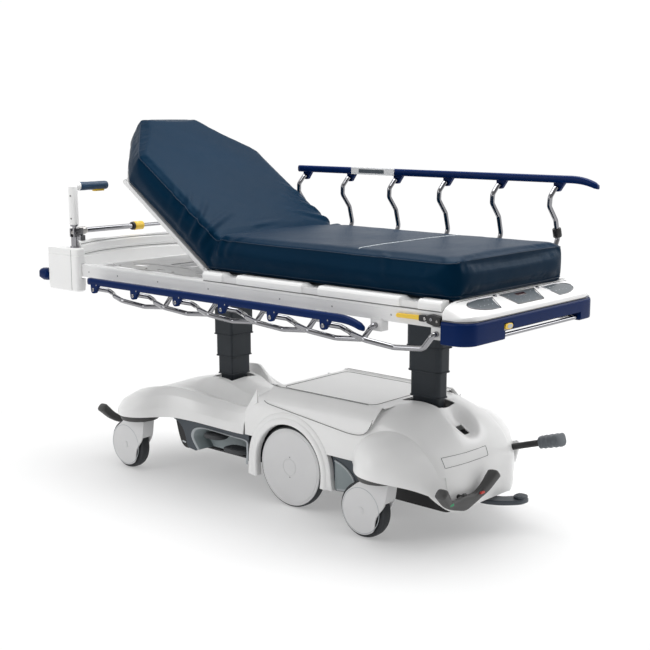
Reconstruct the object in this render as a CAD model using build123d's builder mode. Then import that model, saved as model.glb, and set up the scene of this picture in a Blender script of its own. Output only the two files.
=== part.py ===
from build123d import *
import os
from math import cos, radians, sin

# Stretcher trolley. +X foot end, -Y near side, +Z up, origin on the floor under the middle.
# All sizes in millimetres, all angles in degrees.

# ---- driving dimensions -------------------------------------------------
HOOD_EDGE_Z = 235
HOOD_WALL = 4

CASTER_X = (-570, 675)
CASTER_Y = 300
CASTER_TRAIL = 62
CASTER_R = 98
CASTER_AXLE_R = 6
STEM_R = 12
RUN_GAP = 0.05

BIG_WHEEL_X = 207
BIG_WHEEL_R = 150
BIG_WHEEL_FACE_Y = 246
ARCH_R = 205

COLUMN_X = {"head": -330, "foot": 650}
COLUMN_SIZE = {"head": (100, 125), "foot": (150, 85)}
COLUMN_CORNER = {"head": 10, "foot": 22}
STAGE_BOTTOM = {"head": (550, 461, 388), "foot": (623, 536, 445)}
STAGE_TOP = {"head": (770, 585, 490), "foot": (770, 655, 562)}
STAGE_STEP = 12
STAGE_WALL = 3
STAGE_LIP = 2.2
COLUMN_FOOT_TOP = {"head": 420, "foot": 458}
COLUMN_FOOT_Z = 215
JACK_R = {"head": 26, "foot": 19}
RAM_R = {"head": 17, "foot": 12}
PIVOT_Z = 790
PIVOT_PIN_R = 10

BEAM_Y = (335, 370)
BEAM_Z = (774, 823)
BEAM_X = (-960, 975)
DECK_TOP = 848
FOLD_X = -127
HINGE_Z = 838
HINGE_R = 8
BACK_ANGLE = 34.5
BACK_LENGTH = 793
BACK_SHOULDER = 550
BACK_TIP_HALF = 150

MATTRESS_HALF = 335
MATTRESS_THICK = 128
MATTRESS_END_X = 985

SPINDLES = 6
SPINDLE_PITCH = 241.5
SPINDLE_LAST_X = 955
SPINDLE_Z = 757
SPINDLE_R = 9
SPINDLE_LENGTH = 415
LEAN_UP = 9.2
LEAN_DOWN = 92
# Spindle centre line: distance along the spindle, bow towards the head, distance from the centre line.
# The upper half runs outside the lower half, so that each spindle folds past the next one.
SPINDLE_LINE = (
    (0, 0, 346),
    (0, 0, 395),
    (36, 46, 400),
    (150, 52, 402),
    (235, 30, 442),
    (300, 20, 424),
    (352, 18, 388),
    (385, 8, 384),
    (SPINDLE_LENGTH, 0, 412),
    (SPINDLE_LENGTH, 0, 433),
)
SPINDLE_BENDS = (12, 26, 30, 30, 30, 24, 16, 13)
RAIL_Y = 426
RAIL_WIDTH = 26
RAIL_HEIGHT = 30
RAIL_RISE = 30

HANDLE_X = -890
HANDLE_Y = 352
HANDLE_FOLD_Z = 947
HANDLE_PIN_R = 4
IV_X = -945
IV_Y = -290
POLE_TUBE_LENGTH = 330
POLE_ROD_LENGTH = 480
POLE_ROD_R = 8

SIDES = {"near": -1, "far": 1}
ENDS = {"head": 0, "foot": 1}
FROM_END = (Align.CENTER, Align.CENTER, Align.MIN)

os.makedirs("parts", exist_ok=True)


def write(piece, label):
    """Label a finished piece and write it as its own STEP file."""
    piece.part.label = label
    export_step(piece.part, f"parts/{label}.step")


def lean(pivot_x, angle, along, bow, side_y):
    """Point on a spindle that leans by angle towards the head end."""
    turn = radians(angle)
    x = pivot_x - along * sin(turn) - bow * cos(turn)
    z = SPINDLE_Z + along * cos(turn) - bow * sin(turn)
    return (x, side_y, z)


# ---- base: chassis, covers and skirts -------------------------------------
CHASSIS_Y = 150
CHASSIS_Z = 262
TRAY_Z = 120
PLATE_Z = 208
STEER_Y = -150
STEER_Z = 165
STEER_R = 9
PEDAL_SHAFT_R = 7
PUMP_PIVOT = (760, 250, 228)
RELEASE_PIVOT = (800, 60, 100)
# Side pedals: place along the trolley and height of the foot pad.
SIDE_PEDALS = {"side_pump_pedals": (-190, 196), "side_release_pedals": (-72, 160)}
SIDE_PAD_HALF = {"side_pump_pedals": 44, "side_release_pedals": 50}
SIDE_PAD_Y = 232
SIDE_SHAFT_SHIFT = 20

with BuildPart() as chassis:
    for side in (-1, 1):
        with Locations((55, side * CHASSIS_Y, CHASSIS_Z)):
            Box(1300, 40, 44)
        for caster_x in CASTER_X:
            with Locations((caster_x, side * (CASTER_Y + CHASSIS_Y) / 2, CHASSIS_Z)):
                Box(50, CASTER_Y - CHASSIS_Y, 36)
            with Locations((caster_x, side * CASTER_Y, CHASSIS_Z - 6)):
                Cylinder(24, 56)
                Cylinder(STEM_R + RUN_GAP, 56, mode=Mode.SUBTRACT)
        with Locations((-112, side * (CHASSIS_Y - 4), 180)):
            Box(200, 8, 130)
    for web_x in (-260, 60, 400, 520):
        with Locations((web_x, 0, (TRAY_Z + CHASSIS_Z) / 2)):
            Box(8, 300, CHASSIS_Z - TRAY_Z)
    with Locations((60, 0, TRAY_Z)):
        Box(940, 380, 6)
    with Locations((630, 0, TRAY_Z)):
        Box(230, 220, 6)
    for end, column_x in COLUMN_X.items():
        with Locations((column_x, 0, PLATE_Z)):
            Box(150, 330, 12)
        with Locations((column_x, -CHASSIS_Y, 226), (column_x, CHASSIS_Y, 226)):
            Box(150, 40, 36)
        with Locations((column_x, 0, 180)):
            Cylinder(JACK_R[end] + 1, 200, mode=Mode.SUBTRACT)
    for nose_x, nose_length, lug_x in ((785, 170, 850), (-560, 330, -735)):
        with Locations((nose_x, 0, PLATE_Z)):
            Box(nose_length, 200, 12)
        with Locations((lug_x, -110, PLATE_Z - 23)):
            Box(24, 110, 56)
        with Locations((lug_x, STEER_Y, STEER_Z)):
            Cylinder(STEER_R + RUN_GAP, 40, rotation=(0, 90, 0), mode=Mode.SUBTRACT)
    with Locations((735, 226, 248)):
        Box(90, 12, 24)
    with Locations((760, 226, 238)):
        Box(40, 12, 44)
    with Locations(PUMP_PIVOT):
        Cylinder(PEDAL_SHAFT_R + RUN_GAP, 90, rotation=(90, 0, 0), mode=Mode.SUBTRACT)
    for pad_x, pad_z in SIDE_PEDALS.values():
        with Locations((pad_x + SIDE_SHAFT_SHIFT, 0, pad_z)):
            Cylinder(PEDAL_SHAFT_R + RUN_GAP, 320, rotation=(90, 0, 0), mode=Mode.SUBTRACT)
    with Locations((BIG_WHEEL_X, 0, BIG_WHEEL_R)):
        Cylinder(STEM_R, 2 * (BIG_WHEEL_FACE_Y - 8), rotation=(90, 0, 0))
    with Locations((BIG_WHEEL_X, 0, 205)):
        Box(60, 300, 110)
write(chassis, "chassis")


def cover_block(plan, side, roof, inset):
    """Solid with the given plan outline, side profile and cross section, inset all round and below."""
    with BuildPart() as block:
        with BuildSketch(Plane.XY):
            add(plan.sketch)
            if inset:
                offset(amount=-inset, kind=Kind.INTERSECTION)
        extrude(amount=500)
        with BuildSketch(Plane.XZ):
            with Locations((0, -inset)):
                add(side.sketch)
        extrude(amount=450, both=True, mode=Mode.INTERSECT)
        with BuildSketch(Plane.YZ):
            with Locations((0, -inset)):
                Polygon(*roof, align=None)
        extrude(amount=1000, both=True, mode=Mode.INTERSECT)
    return block.part


def roof_section(crown_half, shoulder, dome, rim):
    """Cross section of a cover: high in the middle and lower over the casters, from (y, z) points."""
    right = [(rim[0], 0), rim, dome, shoulder, (crown_half, 500)]
    return right + [(-y, z) for y, z in reversed(right)]


HEAD_ROOF = roof_section(110, (150, 368), (300, 322), (400, 280))
FOOT_ROOF = roof_section(160, (203, 422), (300, 340), (400, 292))

with BuildSketch() as head_plan:
    Polygon((-22, -258), (-400, -250), (-500, -300), (-640, -330), (-692, -200), (-702, 0),
            (-692, 200), (-640, 330), (-500, 300), (-400, 250), (-22, 258), align=None)
    with Locations((CASTER_X[0], -CASTER_Y), (CASTER_X[0], CASTER_Y)):
        Circle(86)

with BuildSketch() as head_side:
    with BuildLine():
        Spline((-706, HOOD_EDGE_Z), (-690, 270), (-600, 315), (-470, 358), (-390, 374))
        Line((-390, 374), (-275, 374))
        Spline((-275, 374), (-190, 345), (-90, 336), (-22, 352))
        Line((-22, 352), (-22, HOOD_EDGE_Z))
        Line((-22, HOOD_EDGE_Z), (-706, HOOD_EDGE_Z))
    make_face()

with BuildPart() as hood_head:
    add(cover_block(head_plan, head_side, HEAD_ROOF, 0))
    add(cover_block(head_plan, head_side, HEAD_ROOF, HOOD_WALL), mode=Mode.SUBTRACT)
    with Locations((COLUMN_X["head"], 0, 380)):
        Box(COLUMN_SIZE["head"][0] + 12, COLUMN_SIZE["head"][1] + 12, 80, mode=Mode.SUBTRACT)
    with Locations((-22, 0, 285)):
        Box(20, 480, 104, mode=Mode.SUBTRACT)
write(hood_head, "hood_head")

with BuildSketch() as foot_plan:
    Polygon((-18, -250), (530, -250), (600, -310), (740, -330), (800, -270), (845, -205), (862, -135),
            (898, -120), (898, 120), (862, 135), (845, 205), (800, 270), (740, 330), (600, 310),
            (530, 250), (-18, 250), align=None)
    with Locations((CASTER_X[1], -CASTER_Y), (CASTER_X[1], CASTER_Y)):
        Circle(88)

with BuildSketch() as foot_side:
    with BuildLine():
        Line((-18, HOOD_EDGE_Z), (-18, 352))
        Spline((-18, 352), (40, 385), (100, 405), (180, 416))
        Line((180, 416), (620, 416))
        Line((620, 416), (640, 430))
        Spline((640, 430), (760, 420), (850, 360), (898, 290))
        Line((898, 290), (898, HOOD_EDGE_Z))
        Line((898, HOOD_EDGE_Z), (-18, HOOD_EDGE_Z))
    make_face()

with BuildPart() as hood_foot:
    add(cover_block(foot_plan, foot_side, FOOT_ROOF, 0))
    add(cover_block(foot_plan, foot_side, FOOT_ROOF, HOOD_WALL), mode=Mode.SUBTRACT)
    with Locations((COLUMN_X["foot"], 0, 430)):
        Box(COLUMN_SIZE["foot"][0] + 12, COLUMN_SIZE["foot"][1] + 12, 80, mode=Mode.SUBTRACT)
    with Locations((-18, 0, 285)):
        Box(20, 480, 104, mode=Mode.SUBTRACT)
    with Locations((820, PUMP_PIVOT[1], 250)):
        Box(110, 34, 80, mode=Mode.SUBTRACT)
    with Locations((896, 0, 180)):
        Box(4, 250, 120)
    for side in (-1, 1):
        arch_plane = Plane.XZ.offset(-side * 233)
        with BuildSketch(arch_plane):
            with Locations((BIG_WHEEL_X, BIG_WHEEL_R)):
                Circle(ARCH_R - 2)
        extrude(amount=-side * 40, mode=Mode.SUBTRACT)
        with BuildSketch(arch_plane):
            with Locations((BIG_WHEEL_X, BIG_WHEEL_R)):
                Circle(ARCH_R)
                Circle(BIG_WHEEL_R + 9, mode=Mode.SUBTRACT)
            with Locations((BIG_WHEEL_X, 0)):
                Rectangle(3 * ARCH_R, 210, mode=Mode.SUBTRACT)
        extrude(amount=-side * 29)
write(hood_foot, "hood_foot")

LID_X = (92, 606)
with BuildPart() as hood_lid:
    with BuildSketch(Plane.YZ.offset(LID_X[0])):
        with BuildLine():
            Polyline((-262, 352), (-262, 385), (-205, 432), (205, 432), (262, 385), (262, 352),
                     (257, 352), (257, 383), (203, 427), (-203, 427), (-257, 383), (-257, 352),
                     close=True)
        make_face()
    extrude(amount=LID_X[1] - LID_X[0])
    with Locations((BIG_WHEEL_X, -260, BIG_WHEEL_R), (BIG_WHEEL_X, 260, BIG_WHEEL_R)):
        Cylinder(ARCH_R + 2, 20, rotation=(90, 0, 0), mode=Mode.SUBTRACT)
    with Locations((COLUMN_X["foot"], 0, 430)):
        Box(COLUMN_SIZE["foot"][0] + 12, COLUMN_SIZE["foot"][1] + 12, 80, mode=Mode.SUBTRACT)
    with Locations((573, -262, 362), (573, 262, 362)):
        Box(74, 30, 36, mode=Mode.SUBTRACT)
write(hood_lid, "hood_lid")

SKIRT_Y = 240
with BuildPart() as side_skirts:
    for side in (-1, 1):
        with Locations((-181, side * SKIRT_Y, 182)):
            Box(358, 6, 106)
        with Locations((-127, side * (SKIRT_Y - 33), 180)):
            Box(238, 72, 82)
            with Locations((0, side * 4, -4)):
                Box(230, 74, 90, mode=Mode.SUBTRACT)
        for pad_x, pad_z in SIDE_PEDALS.values():
            with Locations((pad_x + SIDE_SHAFT_SHIFT, side * 175, pad_z)):
                Cylinder(PEDAL_SHAFT_R + 2, 30, rotation=(90, 0, 0), mode=Mode.SUBTRACT)
        with Locations((464, side * SKIRT_Y, 176)):
            Box(92, 6, 118)
write(side_skirts, "side_skirts")

with BuildPart() as caster_collars:
    for caster_x in CASTER_X:
        with Locations((caster_x, -CASTER_Y, 223), (caster_x, CASTER_Y, 223)):
            Cylinder(78, 22)
            Cylinder(26, 22, mode=Mode.SUBTRACT)
    chamfer(caster_collars.edges().filter_by(GeomType.CIRCLE).group_by(Axis.Z)[0], 4)
write(caster_collars, "caster_collars")


# ---- lift columns -----------------------------------------------------------
def column_tube(end, stage, bottom, top, lip):
    """Rectangular tube, one nesting step smaller for each stage, with a lip at its lower end."""
    width, depth = COLUMN_SIZE[end]
    width -= STAGE_STEP * stage
    depth -= STAGE_STEP * stage
    corner = max(COLUMN_CORNER[end] - 3 * stage, 4)
    plane = Plane.XY.offset(bottom)
    with BuildPart() as tube:
        with BuildSketch(plane):
            with Locations((COLUMN_X[end], 0)):
                RectangleRounded(width, depth, corner)
        extrude(amount=top - bottom)
        if lip:
            with BuildSketch(plane):
                with Locations((COLUMN_X[end], 0)):
                    RectangleRounded(width + 2 * STAGE_LIP, depth + 2 * STAGE_LIP, corner)
            extrude(amount=4)
        with BuildSketch(plane):
            with Locations((COLUMN_X[end], 0)):
                RectangleRounded(width - 2 * STAGE_WALL, depth - 2 * STAGE_WALL, corner - 2)
        extrude(amount=top - bottom, mode=Mode.SUBTRACT)
    return tube.part


for end in COLUMN_X:
    stage_bottom = STAGE_BOTTOM[end][0]
    top_z = STAGE_TOP[end][0]
    width, depth = COLUMN_SIZE[end]
    with BuildPart() as column_top:
        add(column_tube(end, 0, stage_bottom, top_z, True))
        with Locations((COLUMN_X[end], 0, top_z - 2)):
            Box(width - 2, depth - 2, 4)
        with Locations((COLUMN_X[end], 0, 395)):
            Cylinder(RAM_R[end], top_z - 395, align=FROM_END)
        with Locations((COLUMN_X[end], 0, top_z)):
            Box(28, 50, PIVOT_Z - top_z + PIVOT_PIN_R, align=FROM_END)
        with Locations((COLUMN_X[end], 0, PIVOT_Z)):
            Cylinder(PIVOT_PIN_R, 128, rotation=(90, 0, 0))
    write(column_top, f"column_top_{end}")

for stage in (1, 2):
    with BuildPart() as column_stage:
        for end in COLUMN_X:
            add(column_tube(end, stage, STAGE_BOTTOM[end][stage], STAGE_TOP[end][stage], True))
    write(column_stage, f"column_stage_{stage + 1}")

with BuildPart() as column_feet:
    for end in COLUMN_X:
        add(column_tube(end, 3, COLUMN_FOOT_Z, COLUMN_FOOT_TOP[end], False))
        with Locations((COLUMN_X[end], 0, 72)):
            Cylinder(JACK_R[end], 430 - 72, align=FROM_END)
        with Locations((COLUMN_X[end], 0, 78)):
            Cylinder(RAM_R[end] + RUN_GAP, 400, align=FROM_END, mode=Mode.SUBTRACT)
write(column_feet, "column_feet")

# ---- casters and fifth wheels ----------------------------------------------------
FORK_WIDTH = 56
FORK_DISC_R = 87
CASTER_WIDTH = 34
BIG_WHEEL_WIDTH = 34

for end, end_index in ENDS.items():
    for side, sign in SIDES.items():
        swivel_x = CASTER_X[end_index]
        swivel_y = sign * CASTER_Y
        wheel_x = swivel_x - CASTER_TRAIL
        with BuildPart() as caster_fork:
            with BuildSketch(Plane.XZ.offset(-swivel_y - FORK_WIDTH / 2)):
                with Locations((wheel_x, CASTER_R)):
                    Circle(FORK_DISC_R)
                with BuildLine():
                    Polyline((wheel_x - 62, 161), (swivel_x - 62, 207), (swivel_x + 58, 210),
                             (swivel_x + 50, 150), (wheel_x + 60, 37), (wheel_x, 100), close=True)
                make_face()
            extrude(amount=FORK_WIDTH)
            with Locations((wheel_x, swivel_y, CASTER_R)):
                Cylinder(CASTER_R + 5, 44, rotation=(90, 0, 0), mode=Mode.SUBTRACT)
                Cylinder(CASTER_AXLE_R, FORK_WIDTH, rotation=(90, 0, 0))
            with Locations((swivel_x, swivel_y, 205)):
                Cylinder(STEM_R, 78, align=FROM_END)
        write(caster_fork, f"caster_fork_{end}_{side}")

        with BuildPart() as caster_wheel:
            with Locations((wheel_x, swivel_y, CASTER_R)):
                Cylinder(CASTER_R, CASTER_WIDTH, rotation=(90, 0, 0))
            fillet(caster_wheel.edges().filter_by(GeomType.CIRCLE), 10)
            with Locations((wheel_x, swivel_y, CASTER_R)):
                Cylinder(CASTER_AXLE_R + RUN_GAP, 40, rotation=(90, 0, 0), mode=Mode.SUBTRACT)
        write(caster_wheel, f"caster_wheel_{end}_{side}")

for side, sign in SIDES.items():
    with BuildPart() as big_wheel:
        with BuildSketch(Plane.XZ.offset(-sign * (BIG_WHEEL_FACE_Y - BIG_WHEEL_WIDTH))):
            with Locations((BIG_WHEEL_X, BIG_WHEEL_R)):
                Circle(BIG_WHEEL_R)
        extrude(amount=-sign * BIG_WHEEL_WIDTH)
        fillet(big_wheel.edges().filter_by(GeomType.CIRCLE), 5)
        with Locations((BIG_WHEEL_X, sign * (BIG_WHEEL_FACE_Y - 24), BIG_WHEEL_R)):
            Cylinder(STEM_R + RUN_GAP, 34, rotation=(90, 0, 0), mode=Mode.SUBTRACT)
    write(big_wheel, f"big_wheel_{side}")

# ---- pedals ---------------------------------------------------------------------
STEER_PEDAL = {"foot": (918, 1), "head": (-790, -1)}
for end, (pedal_x, outward) in STEER_PEDAL.items():
    with BuildPart() as steer_pedal:
        with BuildSketch(Plane.YZ.offset(pedal_x - 14)):
            with BuildLine():
                Polyline((-290, 185), (-308, 196), (-300, 218), (-270, 216), (-220, 172), (-178, 166),
                         (-168, 186), (-132, 186), (-122, 166), (-80, 172), (-30, 222), (0, 226),
                         (8, 204), (-10, 185), (-90, 138), (-210, 138), close=True)
            make_face()
        extrude(amount=28)
        for lobe_y in (STEER_Y - 140, STEER_Y + 140):
            with Locations((pedal_x + outward * 18, lobe_y, 206)):
                Cylinder(22, 46, rotation=(0, 90, 0))
        with Locations((pedal_x - outward * 40, STEER_Y, STEER_Z)):
            Cylinder(STEER_R, 80, rotation=(0, 90, 0))
    write(steer_pedal, f"steer_pedal_{end}")

with BuildPart() as pump_pedal:
    with BuildSketch(Plane.XZ.offset(-PUMP_PIVOT[1] - 8)):
        with BuildLine():
            Polyline((748, 218), (748, 238), (960, 300), (968, 282), (770, 218), close=True)
        make_face()
    extrude(amount=16)
    with BuildSketch(Plane.XZ.offset(-PUMP_PIVOT[1] - 24)):
        with BuildLine():
            Polyline((955, 278), (955, 310), (1030, 330), (1050, 318), (1040, 290), (965, 268), close=True)
        make_face()
    extrude(amount=48)
    with Locations((PUMP_PIVOT[0], PUMP_PIVOT[1] - 9, PUMP_PIVOT[2])):
        Cylinder(PEDAL_SHAFT_R, 40, rotation=(90, 0, 0))
write(pump_pedal, "pump_pedal")

with BuildPart() as release_pedal:
    with BuildSketch(Plane.XY.offset(90)):
        with BuildLine():
            Polyline((790, 30), (880, 20), (935, 45), (985, 100), (985, 150), (940, 150), (900, 90), (790, 90),
                     close=True)
        make_face()
        fillet(vertices(), 10)
    extrude(amount=20)
    with Locations(RELEASE_PIVOT):
        Cylinder(PEDAL_SHAFT_R, 90, rotation=(90, 0, 0))
write(release_pedal, "release_pedal")

for label, (pad_x, pad_z) in SIDE_PEDALS.items():
    shaft_x = pad_x + SIDE_SHAFT_SHIFT
    with BuildPart() as side_pedal:
        for side in (-1, 1):
            with BuildSketch(Plane.XY.offset(pad_z - 9)):
                with Locations((pad_x, side * SIDE_PAD_Y)):
                    Ellipse(SIDE_PAD_HALF[label], 34)
            extrude(amount=16)
            with Locations((shaft_x, side * (SIDE_PAD_Y - 36), pad_z)):
                Box(2 * PEDAL_SHAFT_R, 40, 2 * PEDAL_SHAFT_R)
        with Locations((shaft_x, 0, pad_z)):
            Cylinder(PEDAL_SHAFT_R, 380, rotation=(90, 0, 0))
    write(side_pedal, label)

# ---- litter ------------------------------------------------------------------------
BEAM_MID_Y = (BEAM_Y[0] + BEAM_Y[1]) / 2
BEAM_MID_Z = (BEAM_Z[0] + BEAM_Z[1]) / 2
BEAM_LONG = BEAM_X[1] - BEAM_X[0]
PIVOT_XS = [SPINDLE_LAST_X - k * SPINDLE_PITCH for k in range(SPINDLES)]
CROSS_XS = (-800, -560, COLUMN_X["head"], -100, 160, 410, COLUMN_X["foot"], 900)

with BuildPart() as litter_frame:
    for side in (-1, 1):
        with Locations(((BEAM_X[0] + BEAM_X[1]) / 2, side * BEAM_MID_Y, BEAM_MID_Z)):
            Box(BEAM_LONG, BEAM_Y[1] - BEAM_Y[0], BEAM_Z[1] - BEAM_Z[0])
            Box(BEAM_LONG, BEAM_Y[1] - BEAM_Y[0] - 6, BEAM_Z[1] - BEAM_Z[0] - 6, mode=Mode.SUBTRACT)
        for pivot_x in PIVOT_XS:
            with Locations((pivot_x, side * 359, SPINDLE_Z + 1)):
                Box(44, 36, 40)
        with Locations((FOLD_X, side * 331, 830)):
            Box(36, 10, 34)
    for cross_x in CROSS_XS:
        with Locations((cross_x, 0, 812)):
            Box(36, 2 * BEAM_Y[0], 12)
    for end, column_x in COLUMN_X.items():
        for side in (-1, 1):
            with Locations((column_x - 6, side * 46, 795)):
                Box(76, 8, 30)
    for pivot_x in PIVOT_XS:
        with Locations((pivot_x, -360, SPINDLE_Z), (pivot_x, 360, SPINDLE_Z)):
            Cylinder(SPINDLE_R + RUN_GAP, 60, rotation=(90, 0, 0), mode=Mode.SUBTRACT)
    with Locations((COLUMN_X["foot"], 0, PIVOT_Z)):
        Cylinder(PIVOT_PIN_R + RUN_GAP, 140, rotation=(90, 0, 0), mode=Mode.SUBTRACT)
    with Locations((COLUMN_X["head"] - 8, 0, PIVOT_Z)):
        Box(54, 140, 2 * PIVOT_PIN_R + 3, mode=Mode.SUBTRACT)
    with Locations((FOLD_X, 0, HINGE_Z)):
        Cylinder(HINGE_R + RUN_GAP, 2 * 340, rotation=(90, 0, 0), mode=Mode.SUBTRACT)
write(litter_frame, "litter_frame")

DECK_POST_XS = (-20, 160, 410, 650, 900)
with BuildPart() as seat_deck:
    with Locations((430, 0, DECK_TOP - 4)):
        Box(1060, 640, 6)
    for side in (-1, 1):
        for post_x in DECK_POST_XS:
            with Locations((post_x, side * 300, 831.5)):
                Box(110, 50, 27)
        with Locations((435, side * 345, 837)):
            Box(1050, 44, 20)
write(seat_deck, "seat_deck")

with BuildPart() as foot_cover:
    with BuildSketch(Plane.XZ.offset(-358)):
        with BuildLine():
            Polyline((977, 803), (977, 848), (995, 848), (1062, 818), (1070, 803), close=True)
        make_face()
    extrude(amount=716)
    chamfer(foot_cover.edges().filter_by(Axis.Y).group_by(Axis.Z)[-1], 4)
write(foot_cover, "foot_cover")

BUMPER_Z = (727, 800)
LATCH_Y = -165
LATCH_Z = 768
with BuildPart() as bumpers:
    with BuildSketch(Plane.XY.offset(BUMPER_Z[0])):
        with BuildLine():
            Polyline((978, -390), (1045, -390), (1080, -340), (1080, 340), (1045, 390), (978, 390),
                     (978, 374), (1030, 374), (1048, 340), (1048, -340), (1030, -374), (978, -374),
                     close=True)
        make_face()
    extrude(amount=BUMPER_Z[1] - BUMPER_Z[0])
    with Locations((1075, 50, BUMPER_Z[0] + 12)):
        Box(80, 480, 38, mode=Mode.SUBTRACT)
    with Locations((1070, LATCH_Y, LATCH_Z)):
        Box(60, 46, 20, mode=Mode.SUBTRACT)
    for side in (-1, 1):
        with BuildSketch(Plane.XY.offset(742)):
            with Locations((-1052, side * 380)):
                RectangleRounded(56, 50, 12)
        extrude(amount=50)
write(bumpers, "bumpers")

with BuildPart() as touch_panels:
    panel_plane = Plane(origin=(1028.5, 0, 834), x_dir=(0, 1, 0), z_dir=(30, 0, 67))
    with BuildSketch(panel_plane):
        with Locations((0, 0)):
            Trapezoid(190, 44, 80)
        with Locations((-215, 0), (215, 0)):
            Ellipse(80, 22)
    extrude(amount=2)
write(touch_panels, "touch_panels")

BAR_Y = (-180, 280)
BAR_X = (1012, 1064)
BAR_Z = 738
BAR_R = 7
with BuildPart() as fittings:
    with BuildLine():
        FilletPolyline((BAR_X[0], BAR_Y[0], BAR_Z), (BAR_X[1], BAR_Y[0], BAR_Z),
                       (BAR_X[1], BAR_Y[1], BAR_Z), (BAR_X[0], BAR_Y[1], BAR_Z), radius=10)
    with BuildSketch(Plane(origin=(BAR_X[0], BAR_Y[0], BAR_Z), z_dir=(1, 0, 0))):
        Circle(BAR_R)
    sweep()
    for bar_y in BAR_Y:
        with Locations((1006, bar_y, 766)):
            Box(16, 26, 74)
    for side in (-1, 1):
        with Locations((HANDLE_X, side * HANDLE_Y, 886)):
            Cylinder(15, 44, align=FROM_END)
            Cylinder(20, 6, align=FROM_END)
        with Locations((HANDLE_X, side * HANDLE_Y, HANDLE_FOLD_Z)):
            Box(30, 26, 34)
            Box(18, 26, 34, mode=Mode.SUBTRACT)
            Cylinder(HANDLE_PIN_R + RUN_GAP, 40, rotation=(0, 90, 0), mode=Mode.SUBTRACT)
    with Locations((IV_X + 6, IV_Y, 919)):
        Box(44, 24, 22)
    for ear_x in (IV_X - 14, IV_X + 14):
        with Locations((ear_x, IV_Y, 936)):
            Box(4, 24, 46)
    with Locations((IV_X, IV_Y, HANDLE_FOLD_Z)):
        Cylinder(HANDLE_PIN_R, 32, rotation=(0, 90, 0))
write(fittings, "fittings")

HEAD_PANEL_Z = (770, 908)
PILLAR_Z = (712, 886)
with BuildPart() as head_end:
    with BuildSketch(Plane.XY.offset(HEAD_PANEL_Z[0])):
        with BuildLine():
            ThreePointArc((-905, -340), (-1002, 0), (-905, 340))
            Line((-905, 340), (-880, 340))
            ThreePointArc((-880, 340), (-976, 0), (-880, -340))
            Line((-880, -340), (-905, -340))
        make_face()
    extrude(amount=HEAD_PANEL_Z[1] - HEAD_PANEL_Z[0])
    for side in (-1, 1):
        with BuildSketch(Plane.XY.offset(PILLAR_Z[0])):
            with Locations((-925, side * 370)):
                RectangleRounded(198, 50, 16)
        extrude(amount=PILLAR_Z[1] - PILLAR_Z[0])
        with Locations((-900, side * 352, BEAM_MID_Z)):
            Box(160, 38, 52, mode=Mode.SUBTRACT)
        with Locations((HANDLE_X, side * HANDLE_Y, 900)):
            Cylinder(21, 28, mode=Mode.SUBTRACT)
write(head_end, "head_end")

# ---- push handles and drip pole ------------------------------------------------------
for side, sign in SIDES.items():
    with BuildPart() as push_handle:
        with Locations((HANDLE_X, sign * HANDLE_Y, HANDLE_FOLD_Z)):
            Cylinder(HANDLE_PIN_R, 30, rotation=(0, 90, 0))
            Cylinder(12, 17, rotation=(0, 90, 0))
            Box(17, 20, 28, align=FROM_END)
        with Locations((HANDLE_X, sign * HANDLE_Y, HANDLE_FOLD_Z + 24)):
            Cylinder(19, 166, align=FROM_END)
        with Locations((HANDLE_X, sign * (HANDLE_Y - 6), HANDLE_FOLD_Z + 186)):
            Cylinder(17, 165, rotation=(sign * 90, 0, 0), align=FROM_END)
        with Locations((HANDLE_X, sign * (HANDLE_Y - 128), HANDLE_FOLD_Z + 171)):
            Box(18, 62, 16, mode=Mode.SUBTRACT)
    write(push_handle, f"push_handle_{side}")
    with BuildPart() as handle_trigger:
        with Locations((HANDLE_X, sign * (HANDLE_Y - 128), HANDLE_FOLD_Z + 168)):
            Box(14, 56, 14)
    write(handle_trigger, f"handle_trigger_{side}")

with BuildPart() as drip_pole_tube:
    with Locations((IV_X, IV_Y - 10, HANDLE_FOLD_Z)):
        Cylinder(11, POLE_TUBE_LENGTH, rotation=(-90, 0, 0), align=FROM_END)
    with Locations((IV_X, IV_Y + 292, HANDLE_FOLD_Z)):
        Cylinder(17, 44, rotation=(-90, 0, 0), align=FROM_END)
    with Locations((IV_X, IV_Y + 18, HANDLE_FOLD_Z)):
        Cylinder(POLE_ROD_R + RUN_GAP, POLE_TUBE_LENGTH, rotation=(-90, 0, 0), align=FROM_END,
                 mode=Mode.SUBTRACT)
    with Locations((IV_X, IV_Y, HANDLE_FOLD_Z)):
        Cylinder(HANDLE_PIN_R + RUN_GAP, 40, rotation=(0, 90, 0), mode=Mode.SUBTRACT)
write(drip_pole_tube, "drip_pole_tube")

with BuildPart() as drip_pole_rod:
    with Locations((IV_X, IV_Y + 20, HANDLE_FOLD_Z)):
        Cylinder(POLE_ROD_R, POLE_ROD_LENGTH, rotation=(-90, 0, 0), align=FROM_END)
write(drip_pole_rod, "drip_pole_rod")

# ---- backrest and mattress ---------------------------------------------------------------
slope = radians(BACK_ANGLE)
back_plane = Plane(origin=(FOLD_X, 0, HINGE_Z), x_dir=(-cos(slope), 0, sin(slope)),
                   z_dir=(sin(slope), 0, cos(slope)))
PANEL_RISE = DECK_TOP - HINGE_Z
FOLD_GAP = 16


def back_outline(start, half, margin):
    """Plan of the back section: straight sides, then shoulders that narrow to the head edge."""
    tip = BACK_LENGTH - margin
    return [(start, -half), (BACK_SHOULDER, -half), (tip, -BACK_TIP_HALF), (tip, BACK_TIP_HALF),
            (BACK_SHOULDER, half), (start, half)]


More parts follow.
